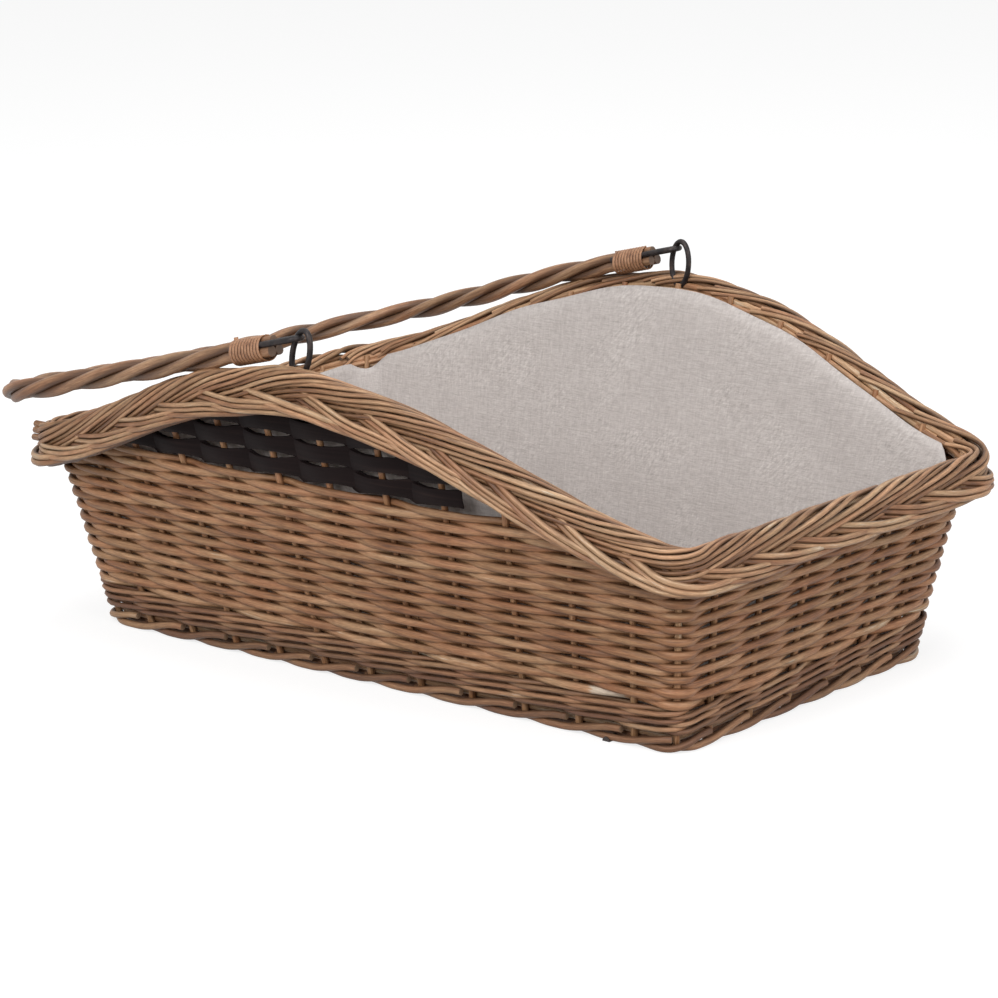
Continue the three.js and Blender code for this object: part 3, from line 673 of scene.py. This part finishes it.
def footRods(material):
    dice = random.Random(foot["seed"])
    rods = []
    for stake in range(stakeCount):
        gaps = np.linspace(foot["start"], foot["reach"] + dice.uniform(*foot["reachSpread"]), foot["steps"])
        places = placesAt(distanceOf(stake + gaps))
        out = foot["inner"] + (foot["out"] - foot["inner"]) * smooth(gaps / foot["outRun"])
        out = out - foot["tuck"] * smooth((gaps - foot["tuckFrom"]) / foot["tuckRun"])
        high = foot["high"] + dice.uniform(-foot["highSpread"], foot["highSpread"])
        z = foot["low"] + (high - foot["low"]) * smooth((gaps - foot["riseFrom"]) / foot["riseRun"])
        radius = foot["rod"] * dice.uniform(*foot["rodSpread"])
        rods.append(wallRod(places, z, out, radius, dice.random()))
    steps, drift = foot["innerSteps"], foot["innerDrift"]
    places = placesAt(np.linspace(0, girth, steps + 1)[:-1])
    for out, z in foot["innerRods"]:
        path = wallPoint(places, z + wander(steps, *drift, dice), out + wander(steps, *drift, dice))
        rods.append(newRod(path, foot["innerRod"], dice.random(), True))
    place(rodPiece("footRods", rods, material), "basket", "dark_willow", "foot_border")


# Upsett: rounds of three thin rods, each outside two stakes and inside the third
wale = dict(rod=0.0018, rodSpread=(0.93, 1.07), rounds=(0.0166, 0.0222, 0.0278), lengths=8, overlap=0.25, swing=0.0048,
            most=1.12, lift=0.0018, drift=(0.0003, 5), stepsPerGap=9, seed=31)


def upsettWale(material):
    dice = random.Random(wale["seed"])
    rods = []
    for level, height in enumerate(wale["rounds"]):
        starts = sorted(dice.sample(range(stakeCount), wale["lengths"]))
        for begin, end in between(starts, stakeCount):  # three rounds of the wall make one turn of the pattern
            steps = int(3 * (end - begin) * wale["stepsPerGap"])
            gaps = np.linspace(3 * begin - wale["overlap"], 3 * end + wale["overlap"], steps)
            turn = 2 * np.pi * gaps / 3
            out = wale["swing"] * np.minimum(1 / 3 - 4 / 3 * np.cos(turn), wale["most"])
            z = height - wale["lift"] * np.sin(turn) + wander(steps, *wale["drift"], dice)
            places = placesAt(distanceOf(gaps + level))
            radius = wale["rod"] * dice.uniform(*wale["rodSpread"])
            rods.append(wallRod(places, z, out, radius, dice.random()))
    place(rodPiece("upsettWale", rods, material), "basket", "dark_willow", "upsett_wale_1", "upsett_wale_2")


# Wall weave: single rods in front of one stake and behind the next, row against row
weave = dict(
    rod=0.0030, rodSpread=(0.88, 1.1), taper=(1.06, 0.94), tall=1.22, squeeze=0.08, swing=0.0036, kink=0.05, proud=0.48,
    pitch=0.00465, first=0.0338, last=0.1315, top=0.1478, waves=((0.0007, 4, 1.0), (0.0005, 7, 2.2)), drift=(0.0004, 7),
    rodsPerRow=3, overlap=0.2, stepsPerGap=10, toneSpread=(0.2, 0.82), swingPaintedShade=0.04, toneDrift=(0.08, 9),
    bareSpots=((0.2154, 0.0336, 0.012), (0.2143, 0.1315, 0.004)), bareTone=1.2, bareReach=0.4,  # bark rubbed off
    seed=11, fillerSeeds=dict(front=12, back=13), solidRows=12,
)
wallRows = round((weave["last"] - weave["first"]) / weave["pitch"]) + 1


def rowHeight(row):
    return weave["first"] + row * weave["pitch"]


def weaveRod(start, end, row, dice):
    height = rowHeight(row)
    gaps = np.linspace(start, end, max(int((end - start) * weave["stepsPerGap"]), 3))
    distance = distanceOf(gaps)
    midway = np.sin(np.pi * gaps) ** 2  # 0 at the stakes, 1 half way between them
    swing = lieOf(row) * (np.cos(np.pi * gaps) + weave["kink"] * np.cos(3 * np.pi * gaps)) / (1 + weave["kink"])
    swing = swing + weave["proud"] * midway
    thickness = weave["rod"] * dice.uniform(*weave["rodSpread"])
    taper = np.linspace(*weave["taper"], len(gaps))[::dice.choice((1, -1))]
    radius = thickness * taper * (1 - weave["squeeze"] * midway)
    turn = 2 * np.pi * distance / girth
    wave = sum(amount * np.sin(count * turn + phase) for amount, count, phase in weave["waves"])  # all rows share it
    z = height + wave + wander(len(gaps), *weave["drift"], dice)
    places = placesAt(distance)
    path = wallPoint(places, z, swing * weave["swing"])
    # rods are darker where they go in behind the stakes: painted shade
    tone = dice.uniform(*weave["toneSpread"]) + weave["swingPaintedShade"] * swing
    tone = tone + wander(len(gaps), *weave["toneDrift"], dice)
    for x, level, half in weave["bareSpots"]:
        if abs(level - height) < weave["bareReach"] * weave["pitch"]:
            tone = tone + weave["bareTone"] * np.exp(-((path[:, 0] - x) / half) ** 4) * (path[:, 1] < 0)
    return newRod(path, radius, tone, outward=wallOutward(places))


def wallWeave(material):
    dice = random.Random(weave["seed"])
    rods = []
    for row in range(wallRows):
        inside = [i for i in range(stakeCount) if lieOf(row) * (-1) ** i < 0]  # joints hide behind these stakes
        joints = sorted(dice.sample(inside, weave["rodsPerRow"]))
        for begin, end in between(joints, stakeCount):
            rods.append(weaveRod(begin - weave["overlap"], end + weave["overlap"], row, dice))
    nodes = [f"weave_row_{i:02d}" for i in range(1, weave["solidRows"] + 1)]
    place(rodPiece("wallWeave", rods, material, tall=weave["tall"]), "basket", "willow", *nodes)


def fillerWeave(side, material):
    dice = random.Random(weave["fillerSeeds"][side])
    rods = []
    row = wallRows
    while rowHeight(row) < weave["top"]:
        reach = sideReach(rowHeight(row))
        rods.append(weaveRod(*sideEnds(side, -reach, reach, rowHeight(row)), row, dice))
        row += 1
    place(rodPiece(f"{side}Filler", rods, material, tall=weave["tall"]), "basket", "willow",
          f"{side}_filler_row_1", f"{side}_filler_row_2")


# Dark splints in the window of each hump: two strips a row, twined about the stakes
splint = dict(
    thickness=0.0012, first=0.1574, pitch=0.0164, rows=4, out=0.0042, twist=0.0012, cup=0.0006,
    frontHeights=(0.0112, 0.0120), crossHeight=0.0162, pinch=1.4, behind=0.42, behindRun=0.6,
    sways=((0.0004, 1.3), (0.0003, 2.9)), swayPhase=6, cutEnd=0.113, endStep=0.4, columnsPerGap=12, bands=4,
    gapLength=0.0452, grainStep=0.05, edge=0.0004, edgeSegments=2, seeds=dict(front=41, back=48),
)


def splintStrip(bm, start, end, middle, strip, dice):
    columns = max(int((end - start) * splint["columnsPerGap"]), 6)
    verts = bmesh.ops.create_grid(bm, x_segments=columns, y_segments=splint["bands"], size=1)["verts"]
    grid = np.array([v.co for v in verts])
    gaps = start + (end - start) * (grid[:, 0] + 1) / 2
    lie = 1 if strip == 0 else -1
    front = lie * np.cos(np.pi * gaps)
    frontHeight = splint["frontHeights"][strip]
    wide = frontHeight + (splint["crossHeight"] - frontHeight) * np.clip(1 - front, 0, 1) ** splint["pinch"]
    tall = wide * (1 - (1 - splint["behind"]) * smooth(-front / splint["behindRun"]))
    sway = sum(amount * np.sin(rate * gaps + dice.uniform(0, splint["swayPhase"])) for amount, rate in splint["sways"])
    z = middle + lie * splint["twist"] * np.sin(np.pi * gaps) + sway + tall / 2 * grid[:, 1]
    cup = splint["cup"] * (1 - grid[:, 1] ** 2)
    points = wallPoint(placesAt(distanceOf(gaps)), z, splint["out"] * front + cup)
    uv = bm.loops.layers.uv["UVMap"]
    for vert, point, along, level in zip(verts, points, gaps * splint["gapLength"], z + splint["grainStep"] * strip):
        vert.co = point
        for loop in vert.link_loops:
            loop[uv].uv = (along, level)


def darkSplints(side, material):
    dice = random.Random(splint["seeds"][side])
    for row in range(splint["rows"]):
        middle = splint["first"] + row * splint["pitch"]
        reach = sideReach(middle + splint["pitch"] / 2)
        cutShort = side == "front" and row == 0
        start, end = sideEnds(side, -reach, splint["cutEnd"] if cutShort else reach, middle)
        behind = 1 if math.cos(math.pi * end) > 0 else 0  # the strip that is behind the last stake ends earlier
        bm = bmesh.new()
        bm.loops.layers.uv.new("UVMap")
        for strip in (0, 1):
            early = splint["endStep"] * (cutShort and strip == behind)
            splintStrip(bm, start, end - early, middle, strip, dice)
        for face in bm.faces:
            face.smooth = True
        bmesh.ops.recalc_face_normals(bm, faces=bm.faces)
        piece = meshPiece(f"{side}Splint{row + 1}", bm, material)
        thicken(piece, splint["thickness"])
        edge = piece.modifiers.new("softEdges", "BEVEL")
        edge.width = splint["edge"]
        edge.segments = splint["edgeSegments"]
        edge.limit_method = "ANGLE"
        place(piece, "basket", "splint", f"{side}_splint_{row + 1}")


# Border: from each stake two thick or three thin rods go along the lower edge, up behind two neighbours, slantwise
# over the face and over the top to the inside, where their tips are cut
border = dict(
    rod=0.00182, pairRod=0.0023, pairApart=0.62, pairShare=0.5, rodSpread=(0.92, 1.06), taper=(1.05, 0.86), strands=3,
    swell=0.0013, blur=0.0012, wayStep=0.0016, outStep=0.001, stepsPerGap=12, seed=61,
    lowerEdge=0.034,  # depth from which the way across is counted
    profile=(  # cross-section: depth below the top line, offset outwards
        (0.040, 0.0004), (0.034, -0.0001), (0.0175, -0.0015), (0.008, -0.0023), (0.004, -0.0034), (0.0024, -0.0062),
        (0.0030, -0.0096), (0.0048, -0.0138), (0.0082, -0.0172), (0.013, -0.0193), (0.020, -0.0203)),
    course=(  # of a group: stake gaps, way across from the lower edge, lift off the face
        (0.0, 0.0205, -0.0042), (0.35, 0.0178, -0.0034), (0.7, 0.0138, 0.0004), (1.0, 0.0106, 0.0028),
        (1.35, 0.0076, 0.0037), (1.9, 0.0056, 0.0028), (2.5, 0.0054, 0.0004), (3.0, 0.0072, -0.0025),
        (3.5, 0.0112, -0.0027), (4.0, 0.0158, -0.0018), (4.5, 0.0206, -0.0002), (5.0, 0.0254, 0.0012),
        (5.4, 0.0292, 0.0014), (5.8, 0.0330, 0.0004), (6.3, 0.0385, 0.0), (6.8, 0.0445, 0.0), (7.2, 0.0495, 0.0)),
    spacing=(  # of the rods in a group: stake gaps, distance
        (0.0, 0.0034), (1.0, 0.0038), (1.9, 0.0033), (2.6, 0.0033), (3.4, 0.0038), (4.6, 0.0038), (5.6, 0.0031),
        (7.2, 0.0034)),
    shiftSpread=0.0005, leanSpread=0.0004, tipSpread=0.45, acrossDrift=(0.00032, 6), liftDrift=(0.00025, 6),
    crownFrom=4.4, crownRun=1.2, crownMiddle=0.0004, crownSides=-0.0003,  # the middle rod stands up over the top
    toneSpread=(0.25, 0.9), liftPaintedShade=90, toneRange=(0.05, 0.88),
    cutEnds=(  # thick ends that stand out past the front left corner, by strand: y, height, reach
        ((-0.1795, 0.1498, 0.2968),), ((-0.1750, 0.1452, 0.2975),),
        ((-0.1830, 0.1462, 0.2942), (-0.1845, 0.1412, 0.2940))),
    cutRod=0.0026, cutStart=0.284, cutSide=0.003, cutRise=0.001, cutSteps=9, cutTone=(0.3, 0.8),
)


def softened(table, column, gaps):  # a drawn course with its corners rounded
    steps, window, passes = 401, 15, 2
    knots = np.array(table)
    fine = np.linspace(knots[0, 0], knots[-1, 0], steps)
    values = np.interp(fine, knots[:, 0], knots[:, column])
    for _ in range(passes):
        padded = np.pad(values, window // 2, mode="reflect", reflect_type="odd")
        values = np.convolve(padded, np.ones(window) / window, "valid")
    return np.interp(gaps, fine, values)


profile = np.array(border["profile"])
profileLengths = lengthsAlong(profile)
profileLengths -= np.interp(-border["lowerEdge"], -profile[:4, 0], profileLengths[:4])


def bandPoint(places, across, lift):  # on the border's face: way across it from the lower edge, and height off it
    def section(at):
        return np.stack([np.interp(at, profileLengths, profile[:, column]) for column in (0, 1)], axis=-1)

    blur, step = border["blur"], border["wayStep"]
    spot = (section(across - blur) + section(across) + section(across + blur)) / 3
    way = section(across + step) - section(across - step)
    way /= np.linalg.norm(way, axis=1, keepdims=True)
    depth = spot[:, 0] + lift * way[:, 1]
    offset = spot[:, 1] - lift * way[:, 0]
    return borderPoint(places, offset + 2 * border["swell"] * np.abs(places[2] * places[3]), depth)


def borderRod(group, side, paired, shift, lean, dice):
    end = border["course"][-1][0] - dice.uniform(0, border["tipSpread"])
    gaps = np.arange(0, end, 1 / border["stepsPerGap"])
    crown = smooth((gaps - border["crownFrom"]) / border["crownRun"])
    across = softened(border["course"], 1, gaps) + side * softened(border["spacing"], 1, gaps) + shift
    lift = softened(border["course"], 2, gaps) + lean + crown * border["crownMiddle" if side == 0 else "crownSides"]
    across = across + wander(len(gaps), *border["acrossDrift"], dice)
    lift = lift + wander(len(gaps), *border["liftDrift"], dice)
    places = topPlaces((group + gaps) * topGirth / stakeCount)
    thickness = border["pairRod" if paired else "rod"] * dice.uniform(*border["rodSpread"])
    radius = thickness * np.linspace(*border["taper"], len(gaps))
    # rods that lie lower under the others are darker: painted shade
    tone = np.clip(dice.uniform(*border["toneSpread"]) + border["liftPaintedShade"] * lift, *border["toneRange"])
    path = bandPoint(places, across, lift)
    outward = (bandPoint(places, across, lift + border["outStep"]) - path) / border["outStep"]
    return newRod(path, radius, tone, outward=outward)


def borderGroups(material):
    for strand in range(border["strands"]):
        dice = random.Random(border["seed"] + strand)
        rods = []
        for group in range(strand, stakeCount, border["strands"]):
            shift, lean = (dice.uniform(-border[key], border[key]) for key in ("shiftSpread", "leanSpread"))
            paired = dice.random() < border["pairShare"]
            for side in (-border["pairApart"], border["pairApart"]) if paired else (-1, 0, 1):
                rods.append(borderRod(group, side, paired, shift, lean, dice))
        for y, z, reach in border["cutEnds"][strand]:
            begin = (-border["cutStart"], y - border["cutSide"], z + border["cutRise"])
            path = np.linspace(begin, (-reach, y, z), border["cutSteps"])
            rods.append(newRod(path, border["cutRod"], dice.uniform(*border["cutTone"])))
        place(rodPiece(f"borderGroups{strand + 1}", rods, material), "basket", "willow", f"border_strand_{strand + 1}")


# Rim: long rods inside the border, which the rods' tips lie on, each with its offset, depth and radius
rim = dict(
    longRods=((-0.0095, 0.0075, 0.0024), (-0.0140, 0.0098, 0.0025), (-0.0168, 0.0136, 0.0024),
              (-0.0118, 0.0128, 0.0026), (-0.0150, 0.0166, 0.0024)),
    # the hidden rods get dark tones: painted shade, so the gaps in the border look dark
    hiddenRods=((-0.0072, 0.0165, 0.0026), (-0.0070, 0.0215, 0.0026), (-0.0068, 0.0265, 0.0026),
                (-0.0066, 0.0315, 0.0024)),
    rodSpread=(0.92, 1.05), lengths=3, overlap=0.02, step=0.006, leastSteps=12, drift=(0.0006, 6), backingPaintedShade=(0, 0.2),
    ringSpace=0.0020, ringReach=0.018, ringShare=0.2, seed=83,  # the rods part where a ring goes through
)


def rimRods(material):
    dice = random.Random(rim["seed"])
    rods = []
    for offset, depth, radius in rim["longRods"] + rim["hiddenRods"]:
        # dark tones for the hidden rods: painted shade behind the border's gaps
        toneSpread = rim["backingPaintedShade"] if (offset, depth, radius) in rim["hiddenRods"] else (0, 1)
        joints = sorted(dice.uniform(0, topGirth) for _ in range(rim["lengths"]))
        for begin, end in between(joints, topGirth):
            steps = max(int((end - begin) / rim["step"]), rim["leastSteps"])
            places = topPlaces(np.linspace(begin, end + rim["overlap"], steps))
            x = wallPoint(places, peakHeight)[:, 0]
            apart = rim["ringSpace"] * np.exp(-(x / rim["ringReach"]) ** 2) * (places[0] ** 2 < rim["ringShare"])
            apart = apart * np.sign(offset + form["stakeInset"])
            out = offset + apart + wander(steps, *rim["drift"], dice)
            path = borderPoint(places, out, depth + wander(steps, *rim["drift"], dice))
            rods.append(newRod(path, radius * dice.uniform(*rim["rodSpread"]), dice.uniform(*toneSpread)))
    place(rodPiece("rimRods", rods, material), "basket", "willow", "rim_hoop")


# Lining: one sewn cloth tub, hung below the border and lying on the mat
lining = dict(
    out=-0.0100, thickness=0.0011, hem=0.0105, hemOut=0.0026, hemRun=0.0145, cornerHem=0.006, hemWave=0.0012,
    hemWaves=(62, 17), slack=0.0016, slackShape=0.7, cornerSlack=0.6, swells=14, swellsRound=(3, 24), swellsUp=(8, 38),
    swellSize=(0.3, 1), floor=0.0176, fold=0.016, foldDepth=0.35, floorRise=0.0006, ripples=((31, 3), (37, 1)),
    middle=0.97, lean=1.03, columns=260, wallRows=22, floorRows=12, weld=0.00005, holeTop=0.03, seed=97,
)


def liningTub(material):
    dice = random.Random(lining["seed"])
    rows = lining["wallRows"] + lining["floorRows"]
    bm = bmesh.new()
    uv = bm.loops.layers.uv.new("UVMap")
    bmesh.ops.create_grid(bm, x_segments=lining["columns"], y_segments=rows, size=1, calc_uvs=True)
    grid = np.array([v.co for v in bm.verts])
    distance = girth * (grid[:, 0] + 1) / 2
    row = np.rint(rows * (1 - grid[:, 1]) / 2)
    places = placesAt(distance)
    bend = np.abs(places[2] * places[3])
    wave = lining["hemWave"] * np.sin(distance * lining["hemWaves"][0]) * np.sin(distance * lining["hemWaves"][1])
    hem = crestOf(places) - lining["hem"] - 2 * lining["cornerHem"] * bend + wave
    down = np.clip(row / lining["wallRows"], 0, 1)
    height = hem + (lining["floor"] - hem) * down
    soft = np.zeros_like(distance)
    for _ in range(lining["swells"]):
        aroundCount, upRate = dice.randint(*lining["swellsRound"]), dice.uniform(*lining["swellsUp"])
        size, phase = dice.uniform(*lining["swellSize"]), dice.uniform(0, anyPhase)
        soft += size * np.sin(2 * np.pi * aroundCount * distance / girth + upRate * height + phase) / 3
    corner = 4 * bend ** 2
    puff = lining["slack"] * (1 + soft) * np.sin(np.pi * down) ** lining["slackShape"]
    puff = puff * (1 - lining["cornerSlack"] * corner)
    lowest = np.clip(1 - (height - lining["floor"]) / lining["fold"], 0, 1)
    rounding = lining["fold"] * lowest ** 2 * lining["foldDepth"]
    sewn = lining["hemOut"] * np.clip(1 - (hem - height) / lining["hemRun"], 0, 1) * (1 - corner)
    points = wallPoint(places, height, lining["out"] + sewn - puff - rounding)
    inwards = np.clip((row - lining["wallRows"]) / lining["floorRows"], 0, 1) * lining["middle"]
    points[:, :2] *= 1 - inwards[:, None]
    ripple = np.prod([np.sin(rate * points[:, axis] + phase)
                      for axis, (rate, phase) in enumerate(lining["ripples"])], axis=0)
    points[:, 2] += (inwards > 0) * lining["floorRise"] * (1 + ripple)
    for vert, point in zip(bm.verts, points):
        vert.co = point
    for face in bm.faces:
        face.smooth = True
        flat = sum(loop[uv].uv.y for loop in face.loops) / 4 < lining["floorRows"] / rows
        for loop in face.loops:
            spot = loop.vert.co
            loop[uv].uv = (spot.x, spot.y) if flat else (loop[uv].uv.x * girth, spot.z * lining["lean"])
    bmesh.ops.remove_doubles(bm, verts=bm.verts, dist=lining["weld"])
    fillHoles(bm, below=lining["holeTop"])
    bmesh.ops.recalc_face_normals(bm, faces=bm.faces)
    area = sum(face.calc_area() for face in bm.faces)
    cloth = meshPiece("liningTub", bm, material)
    thicken(cloth, lining["thickness"])
    place(cloth, "basket", "cloth", "lining")
    print(f"lining: {area:.3f} m2 of cloth")


# Rings and handle: the handle is made flat with its swing axis at the origin, and turned to where it rests
hardware = dict(
    hingeHeight=0.253, hingeOffset=0.2136, ringWire=0.0021, ringRadius=0.0079, ringTall=0.0168, ringWide=0.0088,
    ringTurn=-8, ringLeans=dict(front=0.24, back=0.06), ringSteps=64, eyeWire=0.0023, eyeSide=0.00542, eyeRise=0.00313,
    eyeTip=0.0022, eyeEnd=0.063, legGap=0.002, legSteps=10, bendSteps=19, tone=0.5,
)
handle = dict(
    droop=14.2407, reach=0.339, corner=0.076, start=0.026, twistStart=0.068, turns=17 / 3, rod=0.0038, bundle=0.0044,
    sag=0.009, sagSide=0.2, sagEnd=0.07, sagRun=0.24,  # the far side hangs a little lower
    layDrift=(0.12, 9), bundleDrift=(0.025, 8), rodDrift=(0.03, 12), taper=(1.03, 0.97), tones=(0.45, 0.75, 0.6),
    butts=(1, -1, 1), armSteps=45, bendSteps=40, barSteps=20, seed=71,
)
binding = dict(
    start=0.0325, turns=10, pitch=0.0029, cane=0.0025, thick=0.0012, radius=0.0089, stepsPerTurn=24, sides=10, hug=0.05,
    tailPlace=0.0606, tailRod=0.0016, tailLength=0.008, tailTop=0.0110,
)
handleEnds = (("front", -1), ("back", 1))


def handleMatrix(y=0.0):
    droop = Matrix.Rotation(-math.radians(handle["droop"]), 4, "Y")
    return Matrix.Translation((0, 0, hardware["hingeHeight"])) @ droop @ Matrix.Translation((0, y, 0))


def turned(points, matrix):
    return np.asarray(points) @ np.array(matrix.to_3x3()).T + np.array(matrix.translation)


def ironRing(end, side, material):
    turn = np.linspace(0, 2 * np.pi, hardware["ringSteps"] + 1)[:-1]
    z = hardware["ringRadius"] - hardware["ringTall"] * (1 - np.sin(turn))
    across = hardware["ringWide"] * np.cos(turn) + hardware["ringLeans"][end] * z
    way = math.radians(hardware["ringTurn"])
    y = side * hardware["hingeOffset"] + across * math.sin(way)
    path = np.stack([across * math.cos(way), y, hardware["hingeHeight"] + z], axis=-1)
    ring = newRod(path, hardware["ringWire"], hardware["tone"], True)
    place(rodPiece(f"{end}Ring", [ring], material, 12), "basket", "iron", f"{end}_ring")


def wireEye(end, side, material):
    turn = np.linspace(0, np.pi, hardware["bendSteps"])
    half, legs = hardware["eyeSide"], hardware["legSteps"]
    bendX = -hardware["eyeTip"] - half + half * np.sin(turn)
    legX = np.linspace(-hardware["eyeEnd"], bendX[0] - hardware["legGap"], legs)
    x = np.concatenate([legX, bendX, legX[::-1]])
    across = np.concatenate([np.full(legs, -half), -half * np.cos(turn), np.full(legs, half)])
    path = np.stack([x, across, np.full(len(x), hardware["eyeRise"])], axis=-1)
    path = turned(path, handleMatrix(side * hardware["hingeOffset"]))
    eye = newRod(path, hardware["eyeWire"], hardware["tone"])
    place(rodPiece(f"{end}Eye", [eye], material, 10), "handle", "iron", f"{end}_eye")


def handleLine():  # its middle, from the front end round to the back end, with the way ahead
    corner, reach, offset = handle["corner"], handle["reach"], hardware["hingeOffset"]
    arm, bendY = reach - corner, offset - corner
    straight = np.linspace(handle["start"], arm, handle["armSteps"])
    turn = np.linspace(0, np.pi / 2, handle["bendSteps"])[1:]
    bar = np.linspace(-bendY, 0, handle["barSteps"])[1:]
    x = np.concatenate([-straight, -arm - corner * np.sin(turn), np.full(len(bar), -reach)])
    y = np.concatenate([np.full(len(straight), -offset), -bendY - corner * np.cos(turn), bar])
    facing = np.concatenate([np.full(len(straight), np.pi), np.pi - turn, np.full(len(bar), np.pi / 2)])
    return np.append(x, x[-2::-1]), np.append(y, -y[-2::-1]), np.append(facing, np.pi - facing[-2::-1])


def handleRods(material):
    x, y, facing = handleLine()
    count = len(x)
    length = lengthsAlong(np.stack([x, y], axis=-1))
    plain = handle["twistStart"] - handle["start"]
    share = np.clip((length - plain) / (length[-1] - 2 * plain), 0, 1)
    sag = handle["sag"] * smooth((y + handle["sagSide"]) / handle["sagRun"])
    sag = sag * smooth((-x - handle["sagEnd"]) / handle["sagRun"])
    left = np.stack([-np.sin(facing), np.cos(facing), 0 * facing], axis=-1)
    for i, (tone, butt) in enumerate(zip(handle["tones"], handle["butts"])):
        dice = random.Random(handle["seed"] + i)
        lay = np.pi / 2 + 2 * np.pi * (i / 3 - handle["turns"] * share)
        lay = lay + wander(count, *handle["layDrift"], dice) * np.sin(np.pi * share)
        bundle = handle["bundle"] * (1 + wander(count, *handle["bundleDrift"], dice))
        path = np.stack([x, y, 0 * x], axis=-1) + left * (bundle * np.cos(lay))[:, None]
        path[:, 2] += bundle * np.sin(lay) - sag
        radius = handle["rod"] * (1 + wander(count, *handle["rodDrift"], dice))
        radius = radius * np.linspace(*handle["taper"], count)[::butt]
        outward = left * np.cos(lay)[:, None] + np.array([0, 0, 1]) * np.sin(lay)[:, None]
        outward = outward @ np.array(handleMatrix().to_3x3()).T
        rod = newRod(turned(path, handleMatrix()), radius, tone, outward=outward)
        place(rodPiece(f"handleRod{i + 1}", [rod], material, 12), "handle", "willow", f"handle_rod_{i + 1}")


def caneBinding(end, side, material):
    bm = bmesh.new()
    strip = bmesh.ops.create_circle(bm, segments=binding["sides"], radius=1)["verts"]
    bmesh.ops.scale(bm, vec=(binding["cane"] / 2, binding["thick"] / 2, 1), verts=strip)
    bmesh.ops.rotate(bm, matrix=Matrix.Rotation(math.pi / 2, 3, "X"), verts=strip)
    bmesh.ops.translate(bm, vec=(-binding["start"], 0, binding["radius"]), verts=strip)
    bmesh.ops.spin(bm, geom=bm.verts[:] + bm.edges[:], cent=(0, 0, 0), axis=(side, 0, 0),
                   dvec=(-binding["pitch"] / binding["stepsPerTurn"], 0, 0), angle=2 * math.pi * binding["turns"],
                   steps=binding["turns"] * binding["stepsPerTurn"])
    fillHoles(bm)
    for vert in bm.verts:  # hug the three rods
        angle = math.atan2(vert.co.z, vert.co.y)
        hug = 1 - binding["hug"] * (1 + math.cos(3 * (angle - math.pi / 2) + math.pi)) / 2
        vert.co.y *= hug
        vert.co.z *= hug
    if end == "front":  # the near end's tail stands up from its last turn
        middle = (-binding["tailPlace"], 0, binding["tailTop"] - binding["tailLength"] / 2)
        bmesh.ops.create_cone(bm, cap_ends=True, segments=binding["sides"], radius1=binding["tailRod"],
                              radius2=binding["tailRod"], depth=binding["tailLength"],
                              matrix=Matrix.Translation(middle))
    for face in bm.faces:
        face.smooth = len(face.verts) == 4
    bmesh.ops.recalc_face_normals(bm, faces=bm.faces)
    bm.transform(handleMatrix(side * hardware["hingeOffset"]))
    place(meshPiece(f"{end}Binding", bm, material), "handle", "cane", f"{end}_binding")


setCamera()
layFloor()
lightStage()
print("stage: camera, floor and lamps")
rodGrain = grainGroup()
willow = {name: willowMaterial(name, rodGrain) for name in finishes}
splintWood, iron, cloth, cane = splintMaterial(), ironMaterial(), clothMaterial(), caneMaterial()
print("finishes made")

baseSticks(willow["stickWillowPaintedShade"])
stakedBase(willow["wallWillow"])
footRods(willow["footWillow"])
upsettWale(willow["footWillow"])
wallWeave(willow["wallWillow"])
for side in ("front", "back"):
    fillerWeave(side, willow["wallWillow"])
    darkSplints(side, splintWood)
borderGroups(willow["borderWillow"])
rimRods(willow["borderWillow"])
liningTub(cloth)
for end, side in handleEnds:
    ironRing(end, side, iron)
handleRods(willow["handleWillow"])
for end, side in handleEnds:
    wireEye(end, side, iron)
    caneBinding(end, side, cane)

print("basket dressed")
